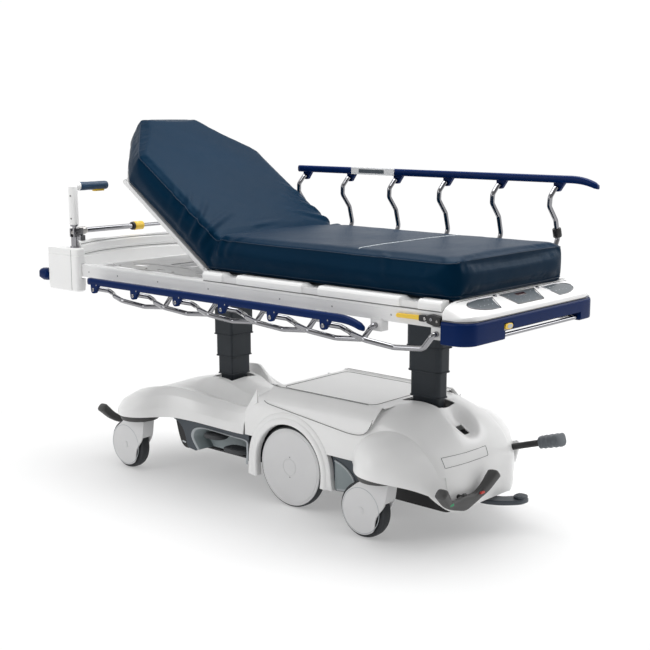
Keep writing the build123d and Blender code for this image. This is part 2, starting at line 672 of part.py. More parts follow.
with BuildPart() as backrest_frame:
    with BuildSketch(back_plane.offset(PANEL_RISE - 2)):
        Polygon(*back_outline(24, 322, 12), align=None)
    extrude(amount=4)
    with BuildSketch(back_plane.offset(PANEL_RISE - 22)):
        with Locations((300, -296), (300, 296)):
            Rectangle(560, 24)
        with Locations((40, 0), (560, 0)):
            Rectangle(24, 600)
    extrude(amount=20)
    for side in (-1, 1):
        with Locations((FOLD_X, side * 318, HINGE_Z)):
            Cylinder(HINGE_R, 34, rotation=(90, 0, 0))
        with BuildSketch(back_plane.offset(-9)):
            with Locations((20, side * 312)):
                Rectangle(44, 16)
        extrude(amount=18)
write(backrest_frame, "backrest_frame")

with BuildPart() as mattress_back:
    with BuildSketch(back_plane.offset(PANEL_RISE + 4)):
        Polygon(*back_outline(FOLD_GAP, MATTRESS_HALF, 0), align=None)
    extrude(amount=MATTRESS_THICK)
    front_edge = mattress_back.edges().filter_by(Axis.Y).sort_by(Axis.X)[-2:].sort_by(Axis.Z)[-1:]
    chamfer(front_edge, MATTRESS_THICK - 3)
write(mattress_back, "mattress_back")

with BuildPart() as mattress_seat:
    with BuildSketch(Plane.XZ.offset(-MATTRESS_HALF)):
        with BuildLine():
            Polyline((FOLD_X + FOLD_GAP, DECK_TOP + 2),
                     (FOLD_X + FOLD_GAP + MATTRESS_THICK, DECK_TOP + 2 + MATTRESS_THICK),
                     (MATTRESS_END_X, DECK_TOP + 2 + MATTRESS_THICK), (MATTRESS_END_X, DECK_TOP + 2),
                     close=True)
        make_face()
    extrude(amount=2 * MATTRESS_HALF)
    fillet(mattress_seat.edges().filter_by(Axis.Z), 45)
write(mattress_seat, "mattress_seat")

# ---- side rails ------------------------------------------------------------------------------
RAIL_ANGLE = {"near": LEAN_DOWN, "far": LEAN_UP}
BRACKET_WIDTH = 15
BRACKET_START = {"near": 424, "far": -439}
BRACKET_BORE_Y = 428
BRACKET_GAP = 0.3
RAIL_START = 40
RAIL_TAIL = 162

for side, sign in SIDES.items():
    angle = RAIL_ANGLE[side]
    for index in range(SPINDLES):
        pivot_x = SPINDLE_LAST_X - (SPINDLES - 1 - index) * SPINDLE_PITCH
        points = [lean(pivot_x, angle, along, bow, sign * y) for along, bow, y in SPINDLE_LINE]
        with BuildPart() as spindle:
            with BuildLine():
                FilletPolyline(*points, radius=SPINDLE_BENDS)
            with BuildSketch(Plane(origin=points[0], z_dir=(0, sign, 0))):
                Circle(SPINDLE_R)
            sweep()
        write(spindle, f"rail_spindle_{side}_{index + 1}")

    first_pin = lean(PIVOT_XS[-1], angle, SPINDLE_LENGTH, 0, sign * RAIL_Y)
    start_x = first_pin[0] - RAIL_START
    end_x = first_pin[0] + (SPINDLES - 1) * SPINDLE_PITCH + RAIL_TAIL
    pin_z = first_pin[2]
    mid_z = pin_z + RAIL_RISE
    with BuildPart() as side_rail:
        with BuildSketch(Plane.XZ.offset(-sign * RAIL_Y - RAIL_WIDTH / 2)):
            with BuildLine():
                top_line = Line((start_x, mid_z + RAIL_HEIGHT / 2), (end_x - 130, mid_z + RAIL_HEIGHT / 2))
                droop = ThreePointArc(top_line @ 1, (end_x - 60, mid_z + 12), (end_x, mid_z - 8))
                Line(droop @ 1, (end_x - 6, mid_z - 28))
                under = ThreePointArc((end_x - 6, mid_z - 28), (end_x - 66, mid_z - 22),
                                      (end_x - 130, mid_z - RAIL_HEIGHT / 2 + 4))
                Line(under @ 1, (start_x, mid_z - RAIL_HEIGHT / 2 + 4))
                Line((start_x, mid_z - RAIL_HEIGHT / 2 + 4), top_line @ 0)
            make_face()
        extrude(amount=RAIL_WIDTH)
        for index in range(SPINDLES):
            pin_x = first_pin[0] + index * SPINDLE_PITCH
            with BuildSketch(Plane.XZ.offset(BRACKET_START[side])):
                with BuildLine():
                    Polyline((pin_x - 15, mid_z), (pin_x - 15, pin_z - 6), (pin_x - 8, pin_z - 15),
                             (pin_x + 8, pin_z - 15), (pin_x + 15, pin_z - 6),
                             (pin_x + 30, mid_z - 10), (pin_x + 30, mid_z), close=True)
                make_face()
            extrude(amount=BRACKET_WIDTH)
        for index in range(SPINDLES):
            pin_x = first_pin[0] + index * SPINDLE_PITCH
            with Locations((pin_x, sign * BRACKET_BORE_Y, pin_z)):
                Cylinder(SPINDLE_R + BRACKET_GAP, 12, rotation=(90, 0, 0), mode=Mode.SUBTRACT)
    write(side_rail, f"side_rail_{side}")

# Yellow release lever of each side rail, flat between the beam and the folding spindles.
RAIL_LATCH_PIVOT = (910, 375, 800)
RAIL_LATCH_LENGTH = 110
RAIL_LATCH_THICK = 7

for side, sign in SIDES.items():
    latch_x, latch_y, latch_z = RAIL_LATCH_PIVOT
    with BuildPart() as rail_latch:
        with Locations((latch_x - 60, sign * latch_y, latch_z)):
            Box(RAIL_LATCH_LENGTH, RAIL_LATCH_THICK, 14)
        with Locations((latch_x, sign * latch_y, latch_z)):
            Cylinder(9, RAIL_LATCH_THICK, rotation=(90, 0, 0))
    write(rail_latch, f"rail_latch_{side}")

with BuildPart() as foot_latch:
    with Locations((1066, LATCH_Y, LATCH_Z)):
        Box(30, 42, 16)
write(foot_latch, "foot_latch")
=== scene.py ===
import math

import bmesh
import bpy
import numpy as np
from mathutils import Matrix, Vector, noise


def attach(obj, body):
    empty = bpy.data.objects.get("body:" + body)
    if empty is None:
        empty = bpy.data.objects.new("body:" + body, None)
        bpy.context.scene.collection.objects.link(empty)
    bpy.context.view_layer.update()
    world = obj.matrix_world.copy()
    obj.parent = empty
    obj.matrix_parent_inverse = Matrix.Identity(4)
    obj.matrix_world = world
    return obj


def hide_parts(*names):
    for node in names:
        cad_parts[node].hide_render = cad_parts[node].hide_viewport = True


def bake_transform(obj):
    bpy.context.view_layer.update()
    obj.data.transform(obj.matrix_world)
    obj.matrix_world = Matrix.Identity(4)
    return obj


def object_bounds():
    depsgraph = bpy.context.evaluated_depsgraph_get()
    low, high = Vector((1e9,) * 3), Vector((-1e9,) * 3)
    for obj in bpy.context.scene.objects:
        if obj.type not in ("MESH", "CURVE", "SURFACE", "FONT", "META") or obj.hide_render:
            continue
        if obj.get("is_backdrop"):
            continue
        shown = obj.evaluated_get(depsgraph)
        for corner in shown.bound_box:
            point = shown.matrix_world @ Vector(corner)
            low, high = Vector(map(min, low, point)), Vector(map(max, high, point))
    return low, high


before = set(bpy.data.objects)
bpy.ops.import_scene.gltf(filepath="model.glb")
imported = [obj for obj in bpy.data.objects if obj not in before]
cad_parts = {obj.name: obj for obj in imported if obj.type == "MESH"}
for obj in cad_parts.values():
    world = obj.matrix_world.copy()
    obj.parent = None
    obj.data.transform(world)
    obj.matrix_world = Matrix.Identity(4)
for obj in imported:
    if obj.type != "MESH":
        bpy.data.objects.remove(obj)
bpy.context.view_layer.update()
scene = bpy.context.scene
scene.view_settings.view_transform = "Standard"
SIDES = {"near": -1, "far": 1}


# ---- materials -------------------------------------------------------------
def material(name, color, rough, metal=0.0, coat=0.0, tint=0.06, tint_scale=9.0, grain=400.0,
             bump=0.06, rough_spread=0.08, sheen=0.0, weave=0.0, dirt=0.0, specular=0.5):
    """Procedural finish: broad colour drift, fine surface grain, uneven roughness."""
    mat = bpy.data.materials.new(name)
    mat.use_nodes = True
    tree = mat.node_tree
    nodes, links = tree.nodes, tree.links
    shader = nodes["Principled BSDF"]
    shader.inputs["Metallic"].default_value = metal
    shader.inputs["Coat Weight"].default_value = coat
    shader.inputs["Coat Roughness"].default_value = 0.12
    shader.inputs["Specular IOR Level"].default_value = specular
    shader.inputs["Sheen Weight"].default_value = sheen
    shader.inputs["Sheen Roughness"].default_value = 0.35
    where = nodes.new("ShaderNodeTexCoord")
    broad = nodes.new("ShaderNodeTexNoise")
    broad.inputs["Scale"].default_value = tint_scale
    broad.inputs["Detail"].default_value = 5
    links.new(where.outputs["Object"], broad.inputs["Vector"])
    ramp = nodes.new("ShaderNodeValToRGB")
    low = [c * (1 - tint) for c in color]
    high = [min(1.0, c * (1 + tint)) for c in color]
    ramp.color_ramp.elements[0].position = 0.3
    ramp.color_ramp.elements[0].color = (*low, 1)
    ramp.color_ramp.elements[1].position = 0.7
    ramp.color_ramp.elements[1].color = (*high, 1)
    links.new(broad.outputs["Fac"], ramp.inputs["Fac"])
    color_out = ramp.outputs["Color"]
    fine = nodes.new("ShaderNodeTexNoise")
    fine.inputs["Scale"].default_value = grain
    fine.inputs["Detail"].default_value = 3
    links.new(where.outputs["Object"], fine.inputs["Vector"])
    if dirt:
        scuff = nodes.new("ShaderNodeTexNoise")
        scuff.inputs["Scale"].default_value = 38
        scuff.inputs["Detail"].default_value = 9
        scuff.inputs["Roughness"].default_value = 0.75
        links.new(where.outputs["Object"], scuff.inputs["Vector"])
        marks = nodes.new("ShaderNodeMapRange")
        marks.inputs["From Min"].default_value = 0.60
        marks.inputs["From Max"].default_value = 0.78
        marks.inputs["To Max"].default_value = dirt
        links.new(scuff.outputs["Fac"], marks.inputs["Value"])
        dull = nodes.new("ShaderNodeMix")
        dull.data_type = "RGBA"
        dull.inputs["B"].default_value = (*[0.55 * c + 0.02 for c in color], 1)
        links.new(marks.outputs["Result"], dull.inputs["Factor"])
        links.new(color_out, dull.inputs["A"])
        color_out = dull.outputs["Result"]
    links.new(color_out, shader.inputs["Base Color"])
    spread = nodes.new("ShaderNodeMapRange")
    spread.inputs["To Min"].default_value = max(0.02, rough - rough_spread)
    spread.inputs["To Max"].default_value = min(1.0, rough + rough_spread)
    links.new(broad.outputs["Fac"], spread.inputs["Value"])
    links.new(spread.outputs["Result"], shader.inputs["Roughness"])
    height = fine.outputs["Fac"]
    if weave:
        knit = nodes.new("ShaderNodeTexVoronoi")
        knit.inputs["Scale"].default_value = weave
        links.new(where.outputs["Object"], knit.inputs["Vector"])
        both = nodes.new("ShaderNodeMath")
        both.operation = "ADD"
        links.new(knit.outputs["Distance"], both.inputs[0])
        links.new(height, both.inputs[1])
        height = both.outputs["Value"]
    raised = nodes.new("ShaderNodeBump")
    raised.inputs["Strength"].default_value = bump
    raised.inputs["Distance"].default_value = 0.002
    links.new(height, raised.inputs["Height"])
    links.new(raised.outputs["Normal"], shader.inputs["Normal"])
    return mat


WHITE = material("white_shell", (0.88, 0.88, 0.875), 0.34, coat=0.15, tint=0.015, dirt=0.10, bump=0.05)
FRAME_WHITE = material("white_frame", (0.79, 0.79, 0.79), 0.42, tint=0.02, grain=900, bump=0.10, dirt=0.16)
SCOOP = material("scoop_grey", (0.42, 0.42, 0.415), 0.5, tint=0.04, grain=700, bump=0.08)
SLATE = material("slate_column", (0.020, 0.0255, 0.032), 0.40, specular=0.25, tint=0.10, grain=600,
                 bump=0.08, dirt=0.10)
DARK = material("dark_frame", (0.020, 0.021, 0.023), 0.55, tint=0.2, grain=500, bump=0.12, dirt=0.2)
BLACK = material("black_plastic", (0.012, 0.012, 0.013), 0.45, tint=0.15, grain=800, bump=0.15)
SKIRT = material("slate_plastic", (0.048, 0.060, 0.074), 0.42, tint=0.06, grain=900, bump=0.12, dirt=0.08)
RECESS = material("recess_grey", (0.24, 0.28, 0.29), 0.45, tint=0.04, grain=900, bump=0.12, dirt=0.06)
RIM = material("recess_rim", (0.42, 0.45, 0.47), 0.38, tint=0.03, grain=900, bump=0.08)
COLLAR = material("dark_plastic", (0.060, 0.060, 0.060), 0.5, tint=0.08, grain=900, bump=0.14, dirt=0.1)
PEDAL = material("pedal_rubber", (0.040, 0.043, 0.047), 0.55, tint=0.12, grain=1200, bump=0.25, dirt=0.15)
GRIP_GREY = material("grip_grey", (0.12, 0.135, 0.15), 0.55, tint=0.06, grain=1200, bump=0.2)
TYRE = material("tyre", (0.022, 0.025, 0.029), 0.6, tint=0.15, grain=900, bump=0.25, dirt=0.25)
WHEEL_WHITE = material("wheel_white", (0.68, 0.68, 0.685), 0.32, coat=0.2, tint=0.015, bump=0.04, dirt=0.12)
CHROME = material("chrome", (0.30, 0.30, 0.315), 0.09, metal=1.0, tint=0.03, grain=250, bump=0.015,
                  rough_spread=0.05)
STEEL = material("steel", (0.42, 0.41, 0.40), 0.28, metal=1.0, tint=0.10, grain=500, bump=0.08)
PLATE = material("zinc_plate", (0.50, 0.50, 0.50), 0.42, metal=0.35, tint=0.10, tint_scale=25, grain=300,
                 bump=0.08)
NAVY = material("royal_blue", (0.001, 0.015, 0.085), 0.30, coat=0.0, specular=0.08, tint=0.06, grain=700,
                bump=0.06, dirt=0.05)
GRIP_BLUE = material("grip_blue", (0.008, 0.040, 0.090), 0.5, tint=0.08, grain=1500, bump=0.25)
YELLOW = material("yellow", (0.86, 0.56, 0.03), 0.34, coat=0.2, tint=0.04, grain=700, bump=0.06)
FILM = material("touch_panel", (0.075, 0.092, 0.105), 0.35, coat=0.3, tint=0.05, grain=900, bump=0.04)
PRINT = material("pale_print", (0.55, 0.58, 0.60), 0.5, tint=0.05, bump=0.02)
DISPLAY = material("display_red", (0.030, 0.006, 0.006), 0.12, coat=0.6, tint=0.1, bump=0.01)
RED = material("red_mark", (0.55, 0.03, 0.02), 0.4, tint=0.05)
GREEN = material("green_mark", (0.02, 0.30, 0.12), 0.4, tint=0.05)
VINYL = material("vinyl", (0.0006, 0.014, 0.035), 0.38, tint=0.10, tint_scale=3.2, grain=520, bump=0.10,
                 sheen=0.0, weave=950, rough_spread=0.07, specular=0.06)
VINYL.node_tree.nodes["Principled BSDF"].inputs["Specular Tint"].default_value = (0.22, 0.62, 1.0, 1.0)
PIPING = material("piping", (0.0022, 0.018, 0.044), 0.42, specular=0.2, tint=0.08, grain=900, bump=0.1)
STITCH = material("stitch_white", (0.62, 0.66, 0.68), 0.6, tint=0.04, grain=900, bump=0.1)
SEAM = material("seam_grey", (0.16, 0.16, 0.16), 0.6, tint=0.05, grain=500, bump=0.05)


# ---- mesh tools ----------------------------------------------------------------
def finish_mesh(name, mesh, body, mats, sharp=38, slot=None, bevel=0.0, segments=2):
    """Link a mesh, shade it smooth with creases, and let it ride on a body."""
    for mat in mats if isinstance(mats, (list, tuple)) else [mats]:
        mesh.materials.append(mat)
    obj = bpy.data.objects.new(name, mesh)
    scene.collection.objects.link(obj)
    mesh.polygons.foreach_set("use_smooth", [True] * len(mesh.polygons))
    if bevel:
        mod = obj.modifiers.new("round", "BEVEL")
        mod.width, mod.segments, mod.limit_method = bevel, segments, "ANGLE"
        mod.angle_limit = math.radians(32)
        mod.harden_normals = True
    mesh.set_sharp_from_angle(angle=math.radians(sharp))
    if body:
        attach(obj, body)
    return obj


def clean(mesh, verts, faces):
    """Fill a mesh from points and faces, merge doubles and point the faces outwards."""
    bm = bmesh.new()
    made = [bm.verts.new(v) for v in verts]
    for f in faces:
        corners = [made[i] for i in f]
        if len(set(corners)) > 2:
            try:
                bm.faces.new(corners)
            except ValueError:
                pass
    bmesh.ops.remove_doubles(bm, verts=bm.verts, dist=1e-5)
    bmesh.ops.dissolve_degenerate(bm, edges=bm.edges, dist=1e-6)
    bmesh.ops.recalc_face_normals(bm, faces=bm.faces)
    bm.to_mesh(mesh)
    bm.free()


def grid_faces(rows, cols, wrap_row=False, wrap_col=False):
    """Quads over a grid of points listed row by row."""
    faces = []
    for i in range(rows if wrap_row else rows - 1):
        for j in range(cols if wrap_col else cols - 1):
            a, b = i, (i + 1) % rows
            c, d = j, (j + 1) % cols
            faces.append((a * cols + c, a * cols + d, b * cols + d, b * cols + c))
    return faces


def loft(name, rings, body, mats, caps=True, wrap=False, **kw):
    """Skin closed rings of points, in order; caps close the two ends."""
    n, m = len(rings), len(rings[0])
    verts = [tuple(p) for ring in rings for p in ring]
    faces = grid_faces(n, m, wrap_row=wrap, wrap_col=True)
    if caps and not wrap:
        faces.append(tuple(range(m)))
        faces.append(tuple(range((n - 1) * m, n * m)))
    mesh = bpy.data.meshes.new(name)
    clean(mesh, verts, faces)
    return finish_mesh(name, mesh, body, mats, **kw)


AXES = {"x": (Vector((0, 1, 0)), Vector((0, 0, 1)), Vector((1, 0, 0))),
        "y": (Vector((0, 0, 1)), Vector((1, 0, 0)), Vector((0, 1, 0))),
        "z": (Vector((1, 0, 0)), Vector((0, 1, 0)), Vector((0, 0, 1)))}


def turn(steps):
    """Angles of one full turn."""
    return [2 * math.pi * k / steps for k in range(steps)]


def soft_cos(t, power):
    """Cosine flattened towards a square, for rounded boxes."""
    return math.copysign(abs(math.cos(t)) ** power, math.cos(t))


def soft_sin(t, power):
    """Sine flattened in the same way."""
    return math.copysign(abs(math.sin(t)) ** power, math.sin(t))


def pin(radius, low, high):
    """Profile of a plain round pin, for lathe."""
    return [(0, low), (radius, low), (radius, high), (0, high)]


def side_box(s, x, y, z):
    """Two corners of a box on side s, from its spans in x, in distance outwards and in z."""
    y0, y1 = sorted((s * y[0], s * y[1]))
    return (x[0], y0, z[0]), (x[1], y1, z[1])


def lathe(name, profile, centre, axis, body, mats, steps=56, **kw):
    """Turn (radius, height) pairs about an axis letter or vector through centre."""
    if isinstance(axis, str):
        u, v, w = AXES[axis]
    else:
        w = Vector(axis).normalized()
        u = w.orthogonal().normalized()
        v = w.cross(u)
    c = Vector(centre)
    rings = []
    for r, h in profile:
        rings.append([c + w * h + (u * math.cos(t) + v * math.sin(t)) * r
                      for t in turn(steps)])
    return loft(name, rings, body, mats, **kw)


def smooth_line(points, per=8, closed=False):
    """Catmull-Rom curve through points of any size."""
    p = np.array(points, float)
    n = len(p)
    out = []
    spans = n if closed else n - 1
    for i in range(spans):
        a = p[(i - 1) % n] if closed or i else 2 * p[0] - p[1]
        b, c = p[i], p[(i + 1) % n]
        d = p[(i + 2) % n] if closed or i < n - 2 else 2 * p[-1] - p[-2]
        for k in range(per):
            t = k / per
            out.append(0.5 * (2 * b + (c - a) * t + (2 * a - 5 * b + 4 * c - d) * t * t
                              + (3 * b - a - 3 * c + d) * t ** 3))
    if not closed:
        out.append(p[-1])
    return np.array(out)


def frames(path):
    """Points with side and up vectors carried along the path."""
    pts = [Vector(p) for p in path]
    tangents = []
    for i in range(len(pts)):
        tangents.append((pts[min(i + 1, len(pts) - 1)] - pts[max(i - 1, 0)]).normalized())
    side = tangents[0].orthogonal().normalized()
    out = []
    for p, t in zip(pts, tangents):
        side = (side - t * side.dot(t)).normalized()
        out.append((p, side, t.cross(side)))
    return out


def tube(name, path, radius, body, mats, steps=18, **kw):
    """Round bar along a path; radius is one number or one for each point."""
    radii = radius if isinstance(radius, (list, tuple)) else [radius] * len(path)
    rings = []
    for (p, s, u), r in zip(frames(path), radii):
        rings.append([p + (s * math.cos(t) + u * math.sin(t)) * r
                      for t in turn(steps)])
    return loft(name, rings, body, mats, **kw)


def plate(name, outline, low, high, plane, body, mats, bevel=0.002, holes=(), **kw):
    """Flat outline with thickness. plane names the two outline axes, such as xz."""
    letters = "xyz"
    a, b = letters.index(plane[0]), letters.index(plane[1])
    c = 3 - a - b
    bm = bmesh.new()

    def point(uv, h):
        q = [0.0, 0.0, 0.0]
        q[a], q[b], q[c] = uv[0], uv[1], h
        return q

    edges = []
    for line in (outline, *holes):
        ring = [bm.verts.new(point(p, low)) for p in line]
        edges += [bm.edges.new((ring[k], ring[(k + 1) % len(ring)])) for k in range(len(ring))]
    filled = bmesh.ops.triangle_fill(bm, use_beauty=True, use_dissolve=False, edges=edges)
    flat = [f for f in filled["geom"] if isinstance(f, bmesh.types.BMFace)]
    if not holes:
        flat = bmesh.ops.dissolve_faces(bm, faces=flat)["region"]
    raised = bmesh.ops.extrude_face_region(bm, geom=flat, use_keep_orig=True)
    lift = Vector(point((0, 0), high - low))
    bmesh.ops.translate(bm, vec=lift, verts=[v for v in raised["geom"]
                                             if isinstance(v, bmesh.types.BMVert)])
    bmesh.ops.recalc_face_normals(bm, faces=bm.faces)
    mesh = bpy.data.meshes.new(name)
    bm.to_mesh(mesh)
    bm.free()
    return finish_mesh(name, mesh, body, mats, bevel=bevel, **kw)


def block(name, low, high, body, mats, bevel=0.003, **kw):
    """Box between two corners with rounded edges."""
    (x0, y0, z0), (x1, y1, z1) = low, high
    kw.setdefault("segments", 3)
    return plate(name, [(x0, y0), (x1, y0), (x1, y1), (x0, y1)], z0, z1, "xy", body, mats, bevel=bevel,
                 **kw)


def rounded(points, radius, steps=6):
    """Outline with its corners rounded; radius is one number or one for each corner."""
    out = []
    n = len(points)
    radii = radius if isinstance(radius, (list, tuple)) else [radius] * n
    for i in range(n):
        p, a, b = Vector(points[i]), Vector(points[i - 1]), Vector(points[(i + 1) % n])
        r = radii[i]
        u, v = (a - p), (b - p)
        cut = min(r, 0.49 * u.length, 0.49 * v.length)
        if cut <= 0:
            out.append(tuple(p))
            continue
        s, e = p + u.normalized() * cut, p + v.normalized() * cut
        for k in range(steps + 1):
            t = k / steps
            out.append(tuple((1 - t) ** 2 * s + 2 * t * (1 - t) * p + t * t * e))
    return out


def sink(name, centre, axis, radius, body, depth=0.004, head=STEEL):
    """Socket screw head, proud by depth along the axis."""
    r = radius
    return lathe(name, [(0, -depth), (r, -depth), (r, depth * 0.6), (r * 0.8, depth), (r * 0.45, depth),
                        (r * 0.4, depth * 0.3), (0, depth * 0.3)], centre, axis, body, head, steps=20)


def dress(node, mat):
    """Give a CAD node its finish."""
    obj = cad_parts[node]
    obj.data.materials.clear()
    obj.data.materials.append(mat)
    return obj


def apply_modifiers(obj):
    """Apply every modifier, in order."""
    with bpy.context.temp_override(active_object=obj, object=obj, selected_objects=[obj]):
        for mod in list(obj.modifiers):
            bpy.ops.object.modifier_apply(modifier=mod.name)


# ---- camera, light and floor ------------------------------------------------------
camera = bpy.data.cameras.new("camera")
camera.lens, camera.sensor_width, camera.clip_end = 66.03, 36, 60
CAMERA_DOWN, CAMERA_TURN = 10.126, 41.46
camera_object = bpy.data.objects.new("camera", camera)
camera_object.location = (3.089, -3.3128, 1.4308)
camera_object.rotation_euler = (math.radians(90 - CAMERA_DOWN), 0, math.radians(CAMERA_TURN))
scene.collection.objects.link(camera_object)
scene.camera = camera_object

world = bpy.data.worlds.new("studio")
world.use_nodes = True
# White backdrop behind and above the trolley, darker room in front of it.
tree = world.node_tree
place = tree.nodes.new("ShaderNodeTexCoord")
split = tree.nodes.new("ShaderNodeVectorMath")
split.operation = "DOT_PRODUCT"
split.inputs[1].default_value = (-0.50, 0.56, 0.50)
level = tree.nodes.new("ShaderNodeMapRange")
level.interpolation_type = "SMOOTHSTEP"
for socket, value in (("From Min", -0.02), ("From Max", 0.42), ("To Min", 0.32), ("To Max", 1.02)):
    level.inputs[socket].default_value = value
tree.links.new(place.outputs["Generated"], split.inputs[0])
tree.links.new(split.outputs["Value"], level.inputs["Value"])
tree.links.new(level.outputs["Result"], tree.nodes["Background"].inputs["Strength"])
tree.nodes["Background"].inputs["Color"].default_value = (1, 1, 1, 1)
scene.world = world


def area(name, place, target, size, power):
    """Square softbox at a place, facing a target."""
    light = bpy.data.lights.new(name, "AREA")
    light.shape, light.size, light.energy = "SQUARE", size, power
    obj = bpy.data.objects.new(name, light)
    obj.location = place
    obj.rotation_euler = (Vector(target) - Vector(place)).to_track_quat("-Z", "Y").to_euler()
    scene.collection.objects.link(obj)


area("overhead", (0.3, 0.6, 3.6), (0.1, 0, 0.6), 2.6, 112)
area("back_right", (2.6, 3.4, 2.6), (0.2, 0, 0.8), 2.0, 40)
area("front_left", (-1.6, -3.6, 2.2), (0, 0, 0.6), 1.8, 30)

floor_mesh = bpy.data.meshes.new("floor")
FLOOR = 14.0
FADE_START, FADE_END, FLOOR_GLOW = 0.85, 1.80, 0.30
clean(floor_mesh, [(-FLOOR, -FLOOR, 0), (FLOOR, -FLOOR, 0), (FLOOR, FLOOR, 0), (-FLOOR, FLOOR, 0)],
      [(0, 1, 2, 3)])
FLOOR_MAT = material("studio_floor", (0.90, 0.90, 0.90), 0.7, tint=0.004, tint_scale=1.0, bump=0.01)
floor = finish_mesh("floor", floor_mesh, None, FLOOR_MAT)
# The floor fades into the white backdrop away from the trolley.
tree = FLOOR_MAT.node_tree
near_shader = tree.nodes["Principled BSDF"]
output = tree.nodes["Material Output"]
spot = tree.nodes.new("ShaderNodeNewGeometry")
reach = tree.nodes.new("ShaderNodeVectorMath")
reach.operation = "LENGTH"
fade = tree.nodes.new("ShaderNodeMapRange")
fade.interpolation_type = "SMOOTHSTEP"
for socket, value in (("From Min", FADE_START), ("From Max", FADE_END), ("To Min", FLOOR_GLOW)):
    fade.inputs[socket].default_value = value
glow = tree.nodes.new("ShaderNodeEmission")
glow.inputs["Strength"].default_value = 1.02
blend = tree.nodes.new("ShaderNodeMixShader")
tree.links.new(spot.outputs["Position"], reach.inputs[0])
tree.links.new(reach.outputs["Value"], fade.inputs["Value"])
tree.links.new(fade.outputs["Result"], blend.inputs["Fac"])
tree.links.new(near_shader.outputs["BSDF"], blend.inputs[1])
tree.links.new(glow.outputs["Emission"], blend.inputs[2])
tree.links.new(blend.outputs["Shader"], output.inputs["Surface"])
floor.location.z = -0.0015
floor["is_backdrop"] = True


# ---- mattress --------------------------------------------------------------------
FOLD = Vector((-0.127, 0, 0.838))
SLOPE = math.radians(34.5)
BACK_DIR = Vector((-math.cos(SLOPE), 0, math.sin(SLOPE)))
BACK_UP = Vector((math.sin(SLOPE), 0, math.cos(SLOPE)))
SEAT_LOW, SEAT_TOP = 0.850, 0.985
CREASE = Vector((-0.080, 0, SEAT_TOP))
BACK_TOP = 0.149
HALF = 0.343
FOOT_END = 0.994


def back_point(along, height):
    """Point in the middle of the backrest: distance up it from the fold, and height off it."""
    return FOLD + BACK_DIR * along + BACK_UP * height


def mattress_stations(inset):
    """Bottom point, top point and half width, from the foot end to the head end."""
    corner = 0.042
    ends = [(FOOT_END - inset, HALF - corner)]
    ends += [(FOOT_END - inset - corner * (1 - math.cos(t)), HALF - inset - corner * (1 - math.sin(t)))
             for t in (math.radians(15 * k) for k in range(1, 7))]
    stations = []
    for x, w in ends:
        stations.append((Vector((x, 0, SEAT_LOW + inset * 0.5)), Vector((x, 0, SEAT_TOP - inset)), w))
    for k in range(1, 21):
        x = 0.936 + (FOLD.x + 0.05 - 0.936) * k / 20
        top = 0.936 + (CREASE.x + 0.03 - 0.936) * k / 20
        stations.append((Vector((x, 0, SEAT_LOW + inset * 0.5)), Vector((top, 0, SEAT_TOP - inset)),
                         HALF - inset))
    stations.append((Vector((FOLD.x, 0, SEAT_LOW + 0.004)), CREASE - Vector((0, 0, inset + 0.006)),
                     HALF - inset - 0.004))
    for k in range(1, 21):
        low, top = 0.05 + 0.50 * (k - 1) / 19, 0.075 + 0.475 * (k - 1) / 19
        stations.append((back_point(low, 0.015), back_point(top, BACK_TOP - inset), HALF - inset))
    for k in range(1, 10):
        t = k / 9
        a = 0.556 + (0.799 - inset - 0.556) * t
        w = HALF - inset + (0.160 - HALF) * t
        stations.append((back_point(a, 0.015), back_point(a, BACK_TOP - inset), w))
    return stations


def section_ring(low, top, half, r=0.020, flat=10, tall=4):
    """Rounded rectangle between a bottom and a top point."""
    high = (top - low).length
    corners = [(-half, 0), (half, 0), (half, high), (-half, high)]
    line = []
    for k, (u, v) in enumerate(rounded(corners, r, steps=3)):
        line.append((u, v))
    dense = []
    for k in range(len(line)):
        a, b = np.array(line[k]), np.array(line[(k + 1) % len(line)])
        n = flat if abs(b[0] - a[0]) > half else tall if abs(b[1] - a[1]) > high / 2 else 1
        dense += [a + (b - a) * j / n for j in range(n)]
    up = (top - low).normalized()
    return [low + up * v + Vector((0, u, 0)) for u, v in dense]


def path_place(p):
    """Distance from the crease (positive on the back), and height above the bottom line."""
    d = p - FOLD
    on_back, over_back = d.dot(BACK_DIR), d.dot(BACK_UP)
    if (p - CREASE).dot((BACK_DIR - Vector((1, 0, 0))).normalized()) > 0:
        return on_back - 0.042, over_back - 0.012
    return CREASE.x - p.x, p.z - SEAT_LOW


# Sewn-cover folds: start and end as (distance from crease, side), width and height.
FOLDS = [((0.10, -0.335), (0.22, -0.20), 0.010, 0.007), ((0.17, -0.335), (0.27, -0.25), 0.009, 0.0065),
         ((0.04, -0.335), (0.13, -0.14), 0.012, 0.0075), ((0.25, -0.335), (0.33, -0.29), 0.008, 0.003),
         ((0.08, 0.335), (0.21, 0.19), 0.010, 0.007), ((0.18, 0.335), (0.29, 0.24), 0.009, 0.0065),
         ((0.03, 0.335), (0.12, 0.13), 0.012, 0.0075), ((-0.03, -0.335), (-0.09, -0.17), 0.011, 0.0065),
         ((-0.03, 0.335), (-0.10, 0.15), 0.011, 0.0065), ((0.035, -0.10), (0.05, 0.08), 0.010, 0.003),
         ((-0.08, -0.335), (-0.16, -0.25), 0.010, 0.003), ((-0.80, -0.335), (-0.72, -0.27), 0.010, 0.003),
         ((-0.80, 0.335), (-0.73, 0.27), 0.010, 0.003)]


